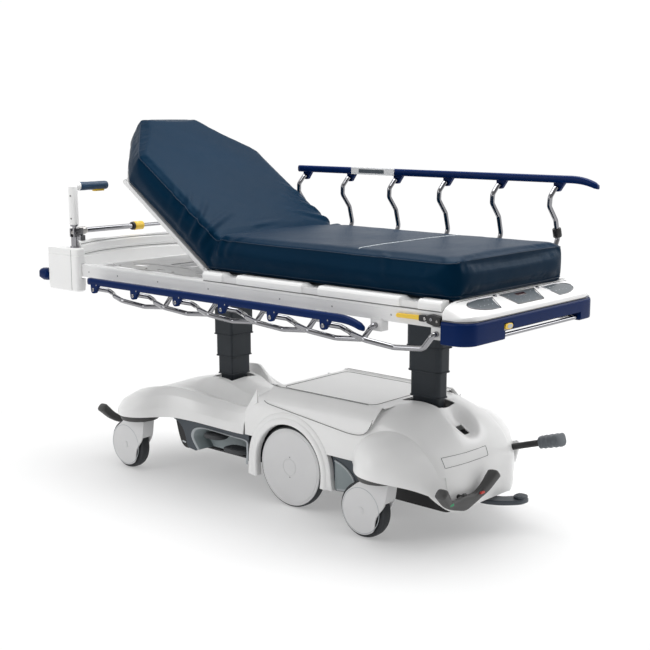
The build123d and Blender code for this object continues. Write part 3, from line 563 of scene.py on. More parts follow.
def ruffle(obj):
    """Crown, soft unevenness and the folds of the cover, as vertex moves."""
    mesh = obj.data
    normals = [v.normal.copy() for v in mesh.vertices]
    for v, n in zip(mesh.vertices, normals):
        s, h = path_place(v.co)
        move = 0.0012 * noise.noise(v.co * 6.0) + 0.0006 * noise.noise(v.co * 19.0)
        if h > 0.10 and n.z > 0.5:
            across = max(0.0, 1 - (v.co.y / HALF) ** 2)
            reach = math.exp(-((s + 0.20) / 0.22) ** 2)
            move += 0.004 * across + 0.005 * across * reach
        if h > 0.06:
            for a, b, width, height in FOLDS:
                ax, ay, bx, by = a[0], a[1], b[0], b[1]
                dx, dy = bx - ax, by - ay
                t = ((s - ax) * dx + (v.co.y - ay) * dy) / (dx * dx + dy * dy)
                if -0.15 < t < 1.15:
                    off = abs((s - ax) * dy - (v.co.y - ay) * dx) / math.hypot(dx, dy)
                    fade = max(0.0, 1 - max(0.0, t)) ** 0.8 * (1 if t > 0 else max(0, 1 + t / 0.15))
                    move += height * fade * (math.exp(-(off / width) ** 2)
                                             - 0.5 * math.exp(-((off - 1.8 * width) / width) ** 2))
        elif h < 0.09 and abs(n.y) > 0.7:
            move += 0.0014 * math.sin(60 * v.co.z + 9 * noise.noise(v.co * 5.0))
        v.co += n * move
    mesh.update()


def swell(obj, voxel, cap, pressure=4.0):
    """Voxel remesh, a short cloth run under pressure, with each point's move limited."""
    with bpy.context.temp_override(active_object=obj, object=obj, selected_objects=[obj]):
        obj.data.remesh_voxel_size = voxel
        bpy.ops.object.voxel_remesh()
        start = np.empty(len(obj.data.vertices) * 3)
        obj.data.vertices.foreach_get("co", start)
        mod = obj.modifiers.new("cloth", "CLOTH")
        mod.settings.use_pressure = True
        mod.settings.uniform_pressure_force = pressure
        mod.settings.quality = 3
        mod.settings.effector_weights.gravity = 0
        for f in range(1, 13):
            scene.frame_set(f)
        bpy.ops.object.modifier_apply(modifier=mod.name)
    scene.frame_set(1)
    end = np.empty_like(start)
    obj.data.vertices.foreach_get("co", end)
    start, move = start.reshape(-1, 3), (end - start).reshape(-1, 3)
    length = np.linalg.norm(move, axis=1, keepdims=True)
    move *= np.minimum(1.0, cap / np.maximum(length, 1e-9))
    obj.data.vertices.foreach_set("co", (start + move).ravel())
    obj.data.update()


INSET = 0.006
mattress = loft("mattress", [section_ring(a, b, w) for a, b, w in mattress_stations(INSET)], None, VINYL,
                sharp=60)
swell(mattress, voxel=0.009, cap=0.008)
ruffle(mattress)
soft = mattress.modifiers.new("soft", "SMOOTH")
soft.factor, soft.iterations = 0.4, 2
mattress.modifiers.new("fine", "SUBSURF").levels = 1
apply_modifiers(mattress)
mattress.data.polygons.foreach_set("use_smooth", [True] * len(mattress.data.polygons))
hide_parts("mattress_seat", "mattress_back")


def on_surface(obj, points, out=0.0):
    """Nearest points on a mesh, moved outwards."""
    found = []
    for p in points:
        ok, place, normal, _ = obj.closest_point_on_mesh(Vector(p))
        found.append(place + normal * out)
    return found


def mattress_outline(height):
    """Closed line round the mattress at a share of its thickness."""
    near, far = [], []
    for low, top, w in mattress_stations(0):
        p = low.lerp(top, height)
        near.append(Vector((p.x, -w, p.z)))
        far.append(Vector((p.x, w, p.z)))
    return near + far[::-1]


STRIPE_X = 0.57
seam_lines = {"mattress_seam_top": mattress_outline(0.985), "mattress_seam_low": mattress_outline(0.10)}
seam_pieces = []
for seam_name, line in seam_lines.items():
    line.append(line[0])
    path = smooth_line([tuple(p) for p in line], per=4)
    path = on_surface(mattress, path, out=0.0002)
    seam_pieces.append(tube(seam_name, path, 0.0017, None, PIPING, steps=6, sharp=180))
stripe = [Vector((STRIPE_X, -0.300 + 0.6 * k / 60, 1.0)) for k in range(61)]
seam_pieces.append(tube("mattress_stripe", on_surface(mattress, stripe, out=0.0), 0.0013, None, STITCH,
                        steps=6, sharp=180))
for piece in (mattress, *seam_pieces):
    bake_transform(piece)


# ---- base covers -------------------------------------------------------------------
def tighten(points, share=0.18):
    """Add a point each side of every inner point, so that the curve turns there tightly."""
    p = np.array(points, float)
    out = [p[0]]
    for k in range(1, len(p) - 1):
        out += [p[k] + (p[k - 1] - p[k]) * share, p[k] + (p[k + 1] - p[k]) * share]
    out.append(p[-1])
    return np.array(out)


def skin(keys, along=7, across=5, share=0.2):
    """Mirror-symmetric surface through cross sections: (x, [(y, z) from the lower edge to the middle])."""
    flat = np.array([[x] + [c for point in half for c in point] for x, half in keys])
    rows = []
    for row in smooth_line(flat, per=along):
        half = smooth_line(tighten(row[1:].reshape(-1, 2), share), per=across)
        near = [(row[0], -max(y, 0.0), z) for y, z in half]
        far = [(x, -y, z) for x, y, z in near[-2::-1]]
        rows.append(near + far)
    return rows


def smooth_rows(rows, along=4, across=4):
    """Denser grid of points through a coarse one."""
    flat = smooth_line([[c for p in row for c in p] for row in rows], per=along)
    return [smooth_line(row.reshape(-1, 3), per=across).tolist() for row in flat]


def cutter(kind, *args):
    """Loose solid for carve, made by block, plate or lathe."""
    options = {"bevel": 0} if kind in (plate, block) else {}
    return kind("cutter", *args, None, DARK, **options)


def carve(obj, tools):
    """Cut solids out of a mesh, and remove them."""
    for tool in tools:
        cut = obj.modifiers.new("cut", "BOOLEAN")
        cut.object, cut.operation, cut.solver = tool, "DIFFERENCE", "EXACT"
    apply_modifiers(obj)
    for tool in tools:
        bpy.data.objects.remove(tool)


def cover(name, rows, body, mat, thickness, cutters=(), shape=None, **kw):
    """Thin moulded shell from a grid of points, with holes cut by solids."""
    mesh = bpy.data.meshes.new(name)
    n, m = len(rows), len(rows[0])
    verts = [Vector(p) for row in rows for p in row]
    if shape:
        verts = [shape(v) for v in verts]
    clean(mesh, verts, grid_faces(n, m))
    up = sum(p.normal.z * p.area for p in mesh.polygons)
    if up < 0:
        mesh.flip_normals()
    obj = finish_mesh(name, mesh, None, mat, **kw)
    wall = obj.modifiers.new("wall", "SOLIDIFY")
    wall.thickness, wall.offset = thickness, -1
    carve(obj, cutters)
    obj.data.polygons.foreach_set("use_smooth", [True] * len(obj.data.polygons))
    obj.data.set_sharp_from_angle(angle=math.radians(kw.get("sharp", 38)))
    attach(obj, body)
    return obj


HEAD_KEYS = [
    (-0.704, [(0.120, 0.236), (0.118, 0.243), (0.110, 0.249), (0.095, 0.252), (0.06, 0.254), (0.03, 0.255),
              (0, 0.255)]),
    (-0.694, [(0.205, 0.236), (0.202, 0.250), (0.190, 0.262), (0.165, 0.268), (0.11, 0.270), (0.05, 0.271),
              (0, 0.272)]),
    (-0.660, [(0.325, 0.236), (0.322, 0.256), (0.300, 0.277), (0.235, 0.292), (0.15, 0.292), (0.07, 0.292),
              (0, 0.293)]),
    (-0.625, [(0.368, 0.236), (0.365, 0.260), (0.335, 0.293), (0.262, 0.313), (0.17, 0.308), (0.08, 0.309),
              (0, 0.312)]),
    (-0.570, [(0.386, 0.236), (0.382, 0.265), (0.345, 0.308), (0.268, 0.333), (0.18, 0.320), (0.08, 0.326),
              (0, 0.331)]),
    (-0.510, [(0.362, 0.236), (0.358, 0.268), (0.325, 0.318), (0.262, 0.347), (0.18, 0.330), (0.08, 0.342),
              (0, 0.347)]),
    (-0.455, [(0.300, 0.236), (0.296, 0.272), (0.278, 0.322), (0.243, 0.352), (0.17, 0.336), (0.085, 0.356),
              (0, 0.360)]),
    (-0.400, [(0.272, 0.238), (0.266, 0.275), (0.252, 0.322), (0.224, 0.350), (0.155, 0.336),
              (0.085, 0.371), (0, 0.374)]),
    (-0.330, [(0.268, 0.240), (0.258, 0.275), (0.238, 0.316), (0.206, 0.341), (0.150, 0.326),
              (0.088, 0.378), (0, 0.378)]),
    (-0.265, [(0.267, 0.241), (0.252, 0.272), (0.222, 0.306), (0.186, 0.328), (0.140, 0.313),
              (0.085, 0.368), (0, 0.376)]),
    (-0.200, [(0.266, 0.240), (0.247, 0.270), (0.210, 0.300), (0.172, 0.320), (0.130, 0.306),
              (0.080, 0.344), (0, 0.360)]),
    (-0.130, [(0.264, 0.238), (0.247, 0.268), (0.212, 0.298), (0.176, 0.315), (0.135, 0.306),
              (0.080, 0.338), (0, 0.354)]),
    (-0.070, [(0.262, 0.236), (0.250, 0.270), (0.222, 0.304), (0.190, 0.322), (0.145, 0.320),
              (0.085, 0.346), (0, 0.358)]),
    (-0.022, [(0.260, 0.236), (0.254, 0.274), (0.234, 0.316), (0.204, 0.340), (0.155, 0.343),
              (0.090, 0.358), (0, 0.366)]),
]
hood_head = cover("hood_head_shell", skin(HEAD_KEYS, share=0.12), "base", WHITE, 0.004,
                  [cutter(block, (-0.386, -0.0685, 0.30), (-0.274, 0.0685, 0.50))])
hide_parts("hood_head")

FOOT_KEYS = [
    (-0.018, [(0.252, 0.236), (0.252, 0.290), (0.246, 0.330), (0.222, 0.352), (0.168, 0.360), (0.09, 0.364),
              (0, 0.366)]),
    (0.030, [(0.252, 0.236), (0.252, 0.300), (0.250, 0.352), (0.234, 0.380), (0.190, 0.394), (0.10, 0.397),
             (0, 0.398)]),
    (0.092, [(0.252, 0.236), (0.252, 0.310), (0.252, 0.362), (0.240, 0.388), (0.204, 0.413), (0.12, 0.416),
             (0, 0.416)]),
    (0.300, [(0.252, 0.236), (0.252, 0.310), (0.252, 0.366), (0.240, 0.394), (0.204, 0.421), (0.12, 0.423),
             (0, 0.423)]),
    (0.500, [(0.253, 0.236), (0.253, 0.300), (0.252, 0.362), (0.240, 0.394), (0.204, 0.421), (0.12, 0.423),
             (0, 0.423)]),
    (0.560, [(0.253, 0.236), (0.253, 0.300), (0.252, 0.358), (0.240, 0.392), (0.204, 0.421), (0.12, 0.424),
             (0, 0.424)]),
    (0.625, [(0.254, 0.234), (0.254, 0.295), (0.252, 0.347), (0.238, 0.386), (0.200, 0.413), (0.10, 0.432),
             (0, 0.433)]),
    (0.675, [(0.254, 0.230), (0.254, 0.290), (0.251, 0.340), (0.234, 0.380), (0.190, 0.403), (0.094, 0.432),
             (0, 0.434)]),
    (0.730, [(0.253, 0.222), (0.253, 0.280), (0.249, 0.328), (0.228, 0.366), (0.180, 0.388), (0.092, 0.421),
             (0, 0.427)]),
    (0.780, [(0.250, 0.205), (0.250, 0.262), (0.244, 0.306), (0.220, 0.343), (0.170, 0.364), (0.090, 0.397),
             (0, 0.406)]),
    (0.825, [(0.243, 0.180), (0.243, 0.235), (0.236, 0.277), (0.210, 0.310), (0.158, 0.330), (0.086, 0.358),
             (0, 0.370)]),
    (0.860, [(0.226, 0.150), (0.227, 0.195), (0.220, 0.232), (0.195, 0.264), (0.146, 0.284), (0.080, 0.308),
             (0, 0.320)]),
    (0.884, [(0.196, 0.124), (0.198, 0.152), (0.192, 0.180), (0.170, 0.205), (0.130, 0.222), (0.072, 0.240),
             (0, 0.250)]),
    (0.897, [(0.160, 0.114), (0.162, 0.122), (0.156, 0.134), (0.140, 0.146), (0.110, 0.156), (0.060, 0.166),
             (0, 0.170)]),
    (0.900, [(0.150, 0.112), (0.151, 0.113), (0.146, 0.114), (0.130, 0.115), (0.100, 0.116), (0.056, 0.117),
             (0, 0.117)]),
]


def scoop(v):
    """Press the finger scoop into the nose of the foot cover."""
    d = ((v.x - 0.792) / 0.052) ** 2 + (v.y / 0.050) ** 2
    return Vector((v.x - 0.010 * math.exp(-d), v.y, v.z - 0.042 * math.exp(-d * d)))


ARCH_X, ARCH_Z, ARCH_R = 0.207, 0.150, 0.183
arch_cutters = [cutter(lathe, pin(0.200, -0.03, 0.03),
                       (ARCH_X, s * 0.262, ARCH_Z), "y") for s in (-1, 1)]
hood_foot = cover("hood_foot_shell", skin(FOOT_KEYS), "base", WHITE, 0.004,
                  [cutter(block, (0.569, -0.0485, 0.36), (0.731, 0.0485, 0.50)), *arch_cutters,
                   cutter(block, (0.775, -0.022, 0.30), (0.815, 0.020, 0.50)),
                   cutter(block, (0.775, 0.222, 0.17), (0.95, 0.270, 0.262)),
                   cutter(block, (0.840, -0.232, 0.168), (0.92, -0.196, 0.236))], shape=scoop)
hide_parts("hood_foot")

# Fender domes over the foot-end casters: (x, outer half width, lower edge, top).
FENDER_KEYS = [(0.520, 0.262, 0.236, 0.325), (0.550, 0.292, 0.236, 0.340), (0.590, 0.340, 0.236, 0.356),
               (0.635, 0.375, 0.236, 0.370),
               (0.680, 0.388, 0.235, 0.373), (0.725, 0.379, 0.230, 0.366), (0.770, 0.351, 0.222, 0.346),
               (0.810, 0.309, 0.207, 0.315),
               (0.845, 0.264, 0.185, 0.278), (0.870, 0.222, 0.160, 0.232), (0.884, 0.186, 0.138, 0.180)]
for name, s in SIDES.items():
    rows = []
    for x, out, low_z, top in smooth_line(FENDER_KEYS, per=5):
        row = []
        for k in range(19):
            t = math.pi / 2 * k / 18
            row.append((x, s * (0.150 + (out - 0.150) * math.cos(t) ** 0.78),
                        low_z + (top - low_z) * math.sin(t) ** 0.86))
        rows.append(row)
    fender = cover(f"fender_{name}", rows, "base", WHITE, 0.0032)
    fin = [Vector((-0.026, s * 0.242, 0.322)), Vector((0.052, s * 0.2535, 0.372)),
           Vector((-0.002, s * 0.200, 0.406)), Vector((0.030, s * 0.200, 0.330))]
    fin_mesh = bpy.data.meshes.new(f"hood_fin_{name}")
    clean(fin_mesh, fin, [(0, 1, 2), (0, 3, 1), (0, 2, 3), (1, 3, 2)])
    finish_mesh(f"hood_fin_{name}", fin_mesh, "base", WHITE, bevel=0.003)
tongue = rounded([(0.809, 0.250), (0.846, 0.262), (0.850, 0.230), (0.834, 0.172), (0.824, 0.168),
                  (0.817, 0.190)], [0.004, 0.01, 0.02, 0.006, 0.006, 0.02])
plate("fender_tongue", tongue, 0.2795, 0.2915, "xz", "base", WHITE, bevel=0.003, segments=3)
block("slot_back", (0.836, -0.236, 0.160), (0.842, -0.190, 0.242), "base", BLACK, bevel=0)
pan_rings = []
for z, x0, x1, y1 in ((0.090, 0.600, 0.835, 0.005), (0.100, 0.585, 0.852, 0.010),
                      (0.140, 0.580, 0.866, 0.010)):
    pan_line = rounded([(x0, -0.134), (x1, -0.134), (x1, y1), (x0, y1)], 0.02)
    pan_rings.append([Vector((x, y, z)) for x, y in pan_line])
loft("belly_pan", pan_rings, "base", BLACK, sharp=40)

# Raised tongue of the head cover behind the far side of its column: (x, foot, crest).
tongue_rows = []
for x, low_z, top in ((-0.428, 0.340, 0.372), (-0.400, 0.335, 0.394), (-0.350, 0.330, 0.402),
                      (-0.310, 0.325, 0.398),
                      (-0.270, 0.320, 0.362), (-0.240, 0.315, 0.330)):
    tongue_rows.append([(x, 0.176, low_z), (x, 0.160, low_z + 0.55 * (top - low_z)),
                        (x, 0.142, top - 0.004),
                        (x, 0.132, top), (x, 0.122, top - 0.006), (x, 0.112, low_z)])
cover("hood_tongue", smooth_rows(tongue_rows), "base", WHITE, 0.003)

LID_KEYS = []
for x, low_z in ((0.092, 0.385), (0.110, 0.377), (0.150, 0.372), (0.22, 0.364), (0.32, 0.353),
                 (0.42, 0.342),
                 (0.50, 0.334), (0.55, 0.337), (0.580, 0.352), (0.598, 0.378), (0.606, 0.398)):
    LID_KEYS.append((x, [(0.2575, low_z), (0.257, 0.5 * (low_z + 0.385)), (0.2555, 0.386), (0.240, 0.405),
                         (0.212, 0.429), (0.202, 0.433), (0.190, 0.4265), (0.090, 0.4265), (0, 0.4265)]))
hood_lid = cover("hood_lid_shell", skin(LID_KEYS, along=4), "base", WHITE, 0.0028,
                 [cutter(block, (0.569, -0.0485, 0.36), (0.70, 0.0485, 0.50))])
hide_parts("hood_lid")
for name, s in SIDES.items():
    hem = smooth_line([(x, s * 0.2588, half[0][1]) for x, half in LID_KEYS], per=4)
    tube(f"lid_hem_{name}", hem, 0.0012, "base", SEAM, steps=6)
    joint = [(0.562, s * 0.150, 0.4245), (0.562, s * 0.204, 0.4222), (0.561, s * 0.2415, 0.393),
             (0.560, s * 0.2535, 0.356)]
    tube(f"hood_joint_{name}", smooth_line(joint, per=4), 0.0012, "base", SEAM, steps=6)
    tube(f"lid_ridge_{name}", [(0.100, s * 0.2055, 0.4328), (0.545, s * 0.2055, 0.4328)], 0.001, "base",
         SEAM, steps=6)
tray_line = rounded([(0.115, -0.180), (0.548, -0.180), (0.548, 0.180), (0.115, 0.180)], 0.03)
tube("lid_tray_line", [(x, y, 0.4268) for x, y in [*tray_line, tray_line[0]]], 0.0012, "base", SEAM,
     steps=6)

for name, s in SIDES.items():
    path = [(-ARCH_R, z) for z in (0.088, 0.110, 0.130)]
    path += [(-ARCH_R * math.cos(t), ARCH_Z + ARCH_R * math.sin(t))
             for t in (math.pi * k / 40 for k in range(41))]
    path += [(0.184, z) for z in (0.135, 0.118, 0.106)]
    profile = [(-0.022, 0.233), (-0.022, 0.256), (-0.019, 0.2605), (-0.008, 0.262), (0.000, 0.260),
               (0.004, 0.2565), (0.018, 0.2555), (0.022, 0.253), (0.022, 0.233)]
    rings = []
    for k, (px, pz) in enumerate(path):
        a, b = path[max(k - 1, 0)], path[min(k + 1, len(path) - 1)]
        t = Vector((b[0] - a[0], 0, b[1] - a[1])).normalized()
        out = Vector((-t.z, 0, t.x))
        flare = 0.12 / 0.06 if k < 4 else 0.28 / 0.045 if k > 42 else 0
        wide = 1.0 + flare * max(0.0, ARCH_Z - pz)
        rings.append([Vector((ARCH_X + px, 0, pz)) + out * (u * wide) + Vector((0, s * y, 0)) for u,
                      y in profile])
    arch = loft(f"wheel_arch_{name}", rings, "base", WHITE, bevel=0.0012, sharp=50)


# ---- wheels ------------------------------------------------------------------------
BIG_WHEEL = (0.207, 0, 0.150)
CASTER_X = {"head": -0.570, "foot": 0.675}
CASTER_Y, CASTER_TRAIL, CASTER_R = 0.300, 0.062, 0.098


def big_wheel(name, s):
    """Centre wheel: cover disc, tyre and two marks."""
    c = BIG_WHEEL
    face = [(0, 0.2455), (0.0295, 0.2455), (0.0302, 0.2444), (0.0318, 0.2444), (0.0325, 0.2455),
            (0.118, 0.2462),
            (0.1335, 0.246), (0.1348, 0.2446), (0.1362, 0.2446), (0.1375, 0.2458), (0.1418, 0.245),
            (0.144, 0.2425),
            (0.144, 0.230), (0.130, 0.220), (0.050, 0.215), (0.030, 0.212), (0.0122, 0.212),
            (0.0122, 0.2435), (0, 0.2435)]
    disc = lathe(f"wheel_disc_{name}", [(r, s * h) for r, h in face], c, "y", f"big_wheel_{name}",
                 WHEEL_WHITE, steps=96, sharp=30)
    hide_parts(f"big_wheel_{name}")
    tread = [(0.144, 0.2425), (0.1475, 0.2415), (0.1495, 0.2385), (0.150, 0.234), (0.150, 0.220),
             (0.149, 0.215),
             (0.146, 0.2122), (0.132, 0.213), (0.133, 0.219), (0.1435, 0.229)]
    tyre = loft(f"wheel_tyre_{name}",
                [[Vector(c) + Vector((math.cos(t) * r, s * h, math.sin(t) * r)) for r, h in tread]
                 for t in turn(96)], f"big_wheel_{name}", TYRE, wrap=True, sharp=40)
    for dz in (0.038, -0.038):
        sink(f"wheel_dot_{name}_{'top' if dz > 0 else 'low'}", (c[0], s * 0.2455, c[2] + dz), (0, s, 0),
             0.0022,
             f"big_wheel_{name}", depth=0.0008, head=SEAM)


def caster(end, name, s, sx):
    """Swivel caster: two shroud cheeks, neck, stem, axle and wheel."""
    body, wheel = f"caster_fork_{end}_{name}", f"caster_wheel_{end}_{name}"
    y0 = s * CASTER_Y
    wx, wz = sx - CASTER_TRAIL, CASTER_R
    line = [(0.0845 * math.cos(math.radians(a)), 0.0845 * math.sin(math.radians(a)))
            for a in range(128, 309, 6)]
    line += smooth_line([(0.052, -0.0666), (0.060, -0.052), (0.0615, -0.035), (0.066, -0.016),
                         (0.078, 0.004),
                         (0.098, 0.030), (0.108, 0.058), (0.116, 0.112)], per=4)[1:].tolist()
    line += [(0.003, 0.112), (0.003, 0.104), (-0.012, 0.098), (-0.022, 0.091)]
    line = [(wx + a, wz + b) for a, b in line]
    for tag, lo, hi in (("out", 0.0215, 0.028), ("in", -0.028, -0.0215)):
        cheek = plate(f"caster_cheek_{end}_{name}_{tag}", line, y0 + lo, y0 + hi, "xz", body, WHEEL_WHITE,
                      bevel=0.0022,
                      segments=3)
        if tag == "out":
            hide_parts(body)
    neck = [(0.020, 0.1035), (0.020, 0.112), (0.116, 0.112), (0.110, 0.064), (0.098, 0.040),
            (0.0925, 0.042), (0.080, 0.0625),
            (0.060, 0.0825), (0.040, 0.094)]
    plate(f"caster_neck_{end}_{name}", [(wx + a, wz + b) for a, b in neck], y0 - 0.022, y0 + 0.022,
                  "xz", body,
                  WHEEL_WHITE, bevel=0.001)
    for tag, o in (("out", 1), ("in", -1)):
        lathe(f"caster_ring_{end}_{name}_{tag}",
              [(0.0785, o * 0.0275), (0.0792, o * 0.0286), (0.0806, o * 0.0286), (0.0813, o * 0.0275)],
              (wx, y0, wz), "y",
              body, RIM, steps=72, caps=False)
        lathe(f"caster_hub_{end}_{name}_{tag}", [(0, o * 0.0275), (0.0135, o * 0.0275), (0.013, o * 0.029),
                                                  (0.0105, o * 0.0298), (0, o * 0.030)], (wx, y0, wz), "y",
              body, WHEEL_WHITE)
    lathe(f"caster_stem_{end}_{name}", [(0, 0.209), (0.0118, 0.209), (0.0118, 0.282), (0.010, 0.283),
                                        (0, 0.283)],
          (sx, y0, 0), "z", body, STEEL, steps=32)
    lathe(f"caster_axle_{end}_{name}", pin(0.0058, -0.0214, 0.0214), (wx, y0, wz), "y",
          body, STEEL, steps=24)
    tread = [(0, -0.0165), (0.0061, -0.0165), (0.030, -0.016), (0.060, -0.0125), (0.078, -0.0125),
             (0.080, -0.0165),
             (0.090, -0.0185), (0.095, -0.017), (0.0975, -0.010), (0.098, 0)]
    tread += [(r, -h) for r, h in tread[-2::-1]]
    tyre = lathe(f"caster_tyre_{end}_{name}", tread, (wx, y0, wz), "y", wheel, TYRE, steps=72, sharp=40)
    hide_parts(wheel)


for name, s in SIDES.items():
    big_wheel(name, s)
    for end, sx in CASTER_X.items():
        caster(end, name, s, sx)
        collar = lathe(f"collar_{end}_{name}",
                       [(0.027, 0.2125), (0.066, 0.2125), (0.0745, 0.215), (0.0765, 0.219), (0.078, 0.226),
                        (0.078, 0.2335),
                        (0.074, 0.2345), (0.027, 0.2345)], (sx, s * CASTER_Y, 0), "z", "base", COLLAR,
                       steps=72, caps=False, wrap=False)
        if (end, name) == ("foot", "near"):
            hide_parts("caster_collars")


# ---- side skirts ----------------------------------------------------------------------
def recess(tag, s, edge, back, wall_y, mat_in):
    """Hollow behind an open edge line: lighter rim, curved wall and back wall."""
    edge = smooth_line(edge, per=5)
    rings = []
    for share, depth in ((0.0, 0.2465), (0.015, 0.2482), (0.05, 0.2482), (0.075, 0.2455), (0.11, 0.232),
                         (0.15, 0.215), (0.19, wall_y)):
        rings.append([Vector((p[0] + (back[0] - p[0]) * share, s * depth, p[1] + (back[1] - p[1]) * share))
                      for p in edge])
    mesh = bpy.data.meshes.new(f"{tag}_rim")
    verts = [p for ring in rings for p in ring]
    clean(mesh, verts, grid_faces(len(rings), len(edge)))
    for poly in mesh.polygons:
        poly.material_index = 0 if abs(poly.center.y) > 0.244 else 1
    rim = finish_mesh(f"{tag}_rim", mesh, None, [RIM, mat_in], sharp=60)
    wall = rim.modifiers.new("wall", "SOLIDIFY")
    wall.thickness, wall.offset = 0.0016, 0
    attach(rim, "base")
    inner = [(p.x, p.z) for p in rings[-1]]
    plate(f"{tag}_back", inner, s * wall_y, s * (wall_y - 0.003), "xz", "base", mat_in, bevel=0)


SKIRT_EDGE = [(-0.288, 0.121), (-0.309, 0.146), (-0.324, 0.172), (-0.316, 0.196), (-0.292, 0.211),
              (-0.250, 0.218),
              (-0.180, 0.217), (-0.100, 0.214), (-0.014, 0.210)]
for name, s in SIDES.items():
    edge = smooth_line(SKIRT_EDGE, per=5).tolist()
    line = edge + [(-0.003, 0.208), (-0.003, 0.2365), (-0.200, 0.240), (-0.330, 0.241), (-0.455, 0.2365)]
    line += smooth_line([(-0.440, 0.231), (-0.398, 0.216), (-0.370, 0.190), (-0.354, 0.150),
                         (-0.346, 0.122)], per=4).tolist()
    line += [(-0.300, 0.116)]
    skirt = plate(f"skirt_{name}", line, s * 0.2405, s * 0.247, "xz", "base", SKIRT, bevel=0.0015)
    if name == "near":
        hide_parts("side_skirts")
    recess(f"recess_{name}", s, SKIRT_EDGE + [(-0.006, 0.180), (-0.006, 0.150), (-0.010, 0.118)],
           (-0.15, 0.165), 0.186, RECESS)
    housing = smooth_line([(-0.426, 0.228), (-0.392, 0.214), (-0.366, 0.190), (-0.351, 0.150),
                           (-0.344, 0.119)], per=4).tolist()
    housing += smooth_line([(-0.352, 0.114), (-0.374, 0.117), (-0.392, 0.132), (-0.408, 0.165),
                            (-0.420, 0.205)], per=4).tolist()
    plate(f"brake_housing_{name}", housing, s * 0.200, s * 0.239, "xz", "base", BLACK, bevel=0.006,
          segments=4)
    plate(f"brake_tab_{name}", rounded([(-0.386, 0.137), (-0.366, 0.134), (-0.364, 0.140), (-0.384, 0.143)],
                                       0.002), s * 0.2385, s * 0.2396,
          "xz", "base", PRINT, bevel=0)
    foot_edge = [(0.420, 0.216), (0.452, 0.206), (0.486, 0.186), (0.507, 0.160), (0.500, 0.136),
                 (0.470, 0.118), (0.430, 0.112)]
    ring = smooth_line(foot_edge, per=5).tolist()
    dark = [(0.404, 0.2365), (0.586, 0.2365), (0.586, 0.196), (0.552, 0.168), (0.530, 0.130),
            (0.512, 0.113), (0.420, 0.104)]
    plate(f"foot_skirt_{name}", dark, s * 0.230, s * 0.236, "xz", "base", SKIRT, bevel=0.0015)
    plate(f"foot_panel_{name}", ring + [(0.420, 0.108)], s * 0.2355, s * 0.2395, "xz", "base", RECESS,
          bevel=0.0018)
    lip = [(x, s * 0.2385, z) for x, z in ring]
    tube(f"foot_panel_rim_{name}", lip, 0.0036, "base", RIM, steps=10, sharp=180)
    hem = [(x, s * 0.2475, z) for x, z in ((-0.455, 0.2385), (-0.330, 0.2415), (-0.200, 0.2405),
                                           (-0.100, 0.2388), (-0.020, 0.237))]
    tube(f"skirt_gap_{name}", smooth_line(hem, per=5), 0.0016, "base", BLACK, steps=6)


# ---- pedals ---------------------------------------------------------------------------
def pad(name, centre, half, height, body, mat, ribs=5, tilt=0.0):
    """Oval rubber foot pad with raised ribs, crowned and rounded."""
    cx, cy, cz = centre
    rings = []
    for share, h in ((0.55, -1.0), (0.92, -0.75), (1.0, -0.2), (1.0, 0.3), (0.94, 0.75), (0.82, 1.0),
                     (0.4, 1.06), (0.02, 1.08)):
        ring = []
        for t in turn(40):
            x = soft_cos(t, 0.75) * half[0] * share
            y = soft_sin(t, 0.75) * half[1] * share
            ring.append(Vector((cx + x, cy + y, cz + h * height / 2 + tilt * y)))
        rings.append(ring)
    top = loft(name, rings, body, mat, sharp=60)
    for k in range(ribs):
        x = cx + half[0] * (k - (ribs - 1) / 2) * 1.5 / ribs
        wide = half[1] * 0.62 * math.sqrt(max(0.1, 1 - ((x - cx) / half[0]) ** 2))
        tube(f"{name}_rib_{k + 1}", [(x, cy - wide, cz + height * 0.52 - tilt * wide),
                                     (x, cy + wide, cz + height * 0.52 + tilt * wide)], 0.0016, body, mat,
             steps=8)
    return top


PEDAL_SHAFT_R = 0.0068
for tag, px, pz, half in (("pump", -0.190, 0.196, 0.051), ("release", -0.075, 0.160, 0.058)):
    body = f"side_{tag}_pedals"
    for name, s in SIDES.items():
        top = pad(f"side_{tag}_pad_{name}", (px, s * 0.2385, pz), (half, 0.036), 0.019, body, PEDAL, ribs=6)
        if name == "near":
            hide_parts(body)
        arm = [(px + 0.020, s * 0.176, pz), (px + 0.018, s * 0.195, pz - 0.004),
               (px + 0.008, s * 0.214, pz - 0.006), (px, s * 0.226, pz - 0.003)]
        tube(f"side_{tag}_arm_{name}", smooth_line(arm, per=4), 0.0085, body, BLACK, steps=12)
    lathe(f"side_{tag}_shaft", pin(PEDAL_SHAFT_R, -0.190, 0.190), (px + 0.020, 0, pz), "y", body, STEEL,
          steps=24)


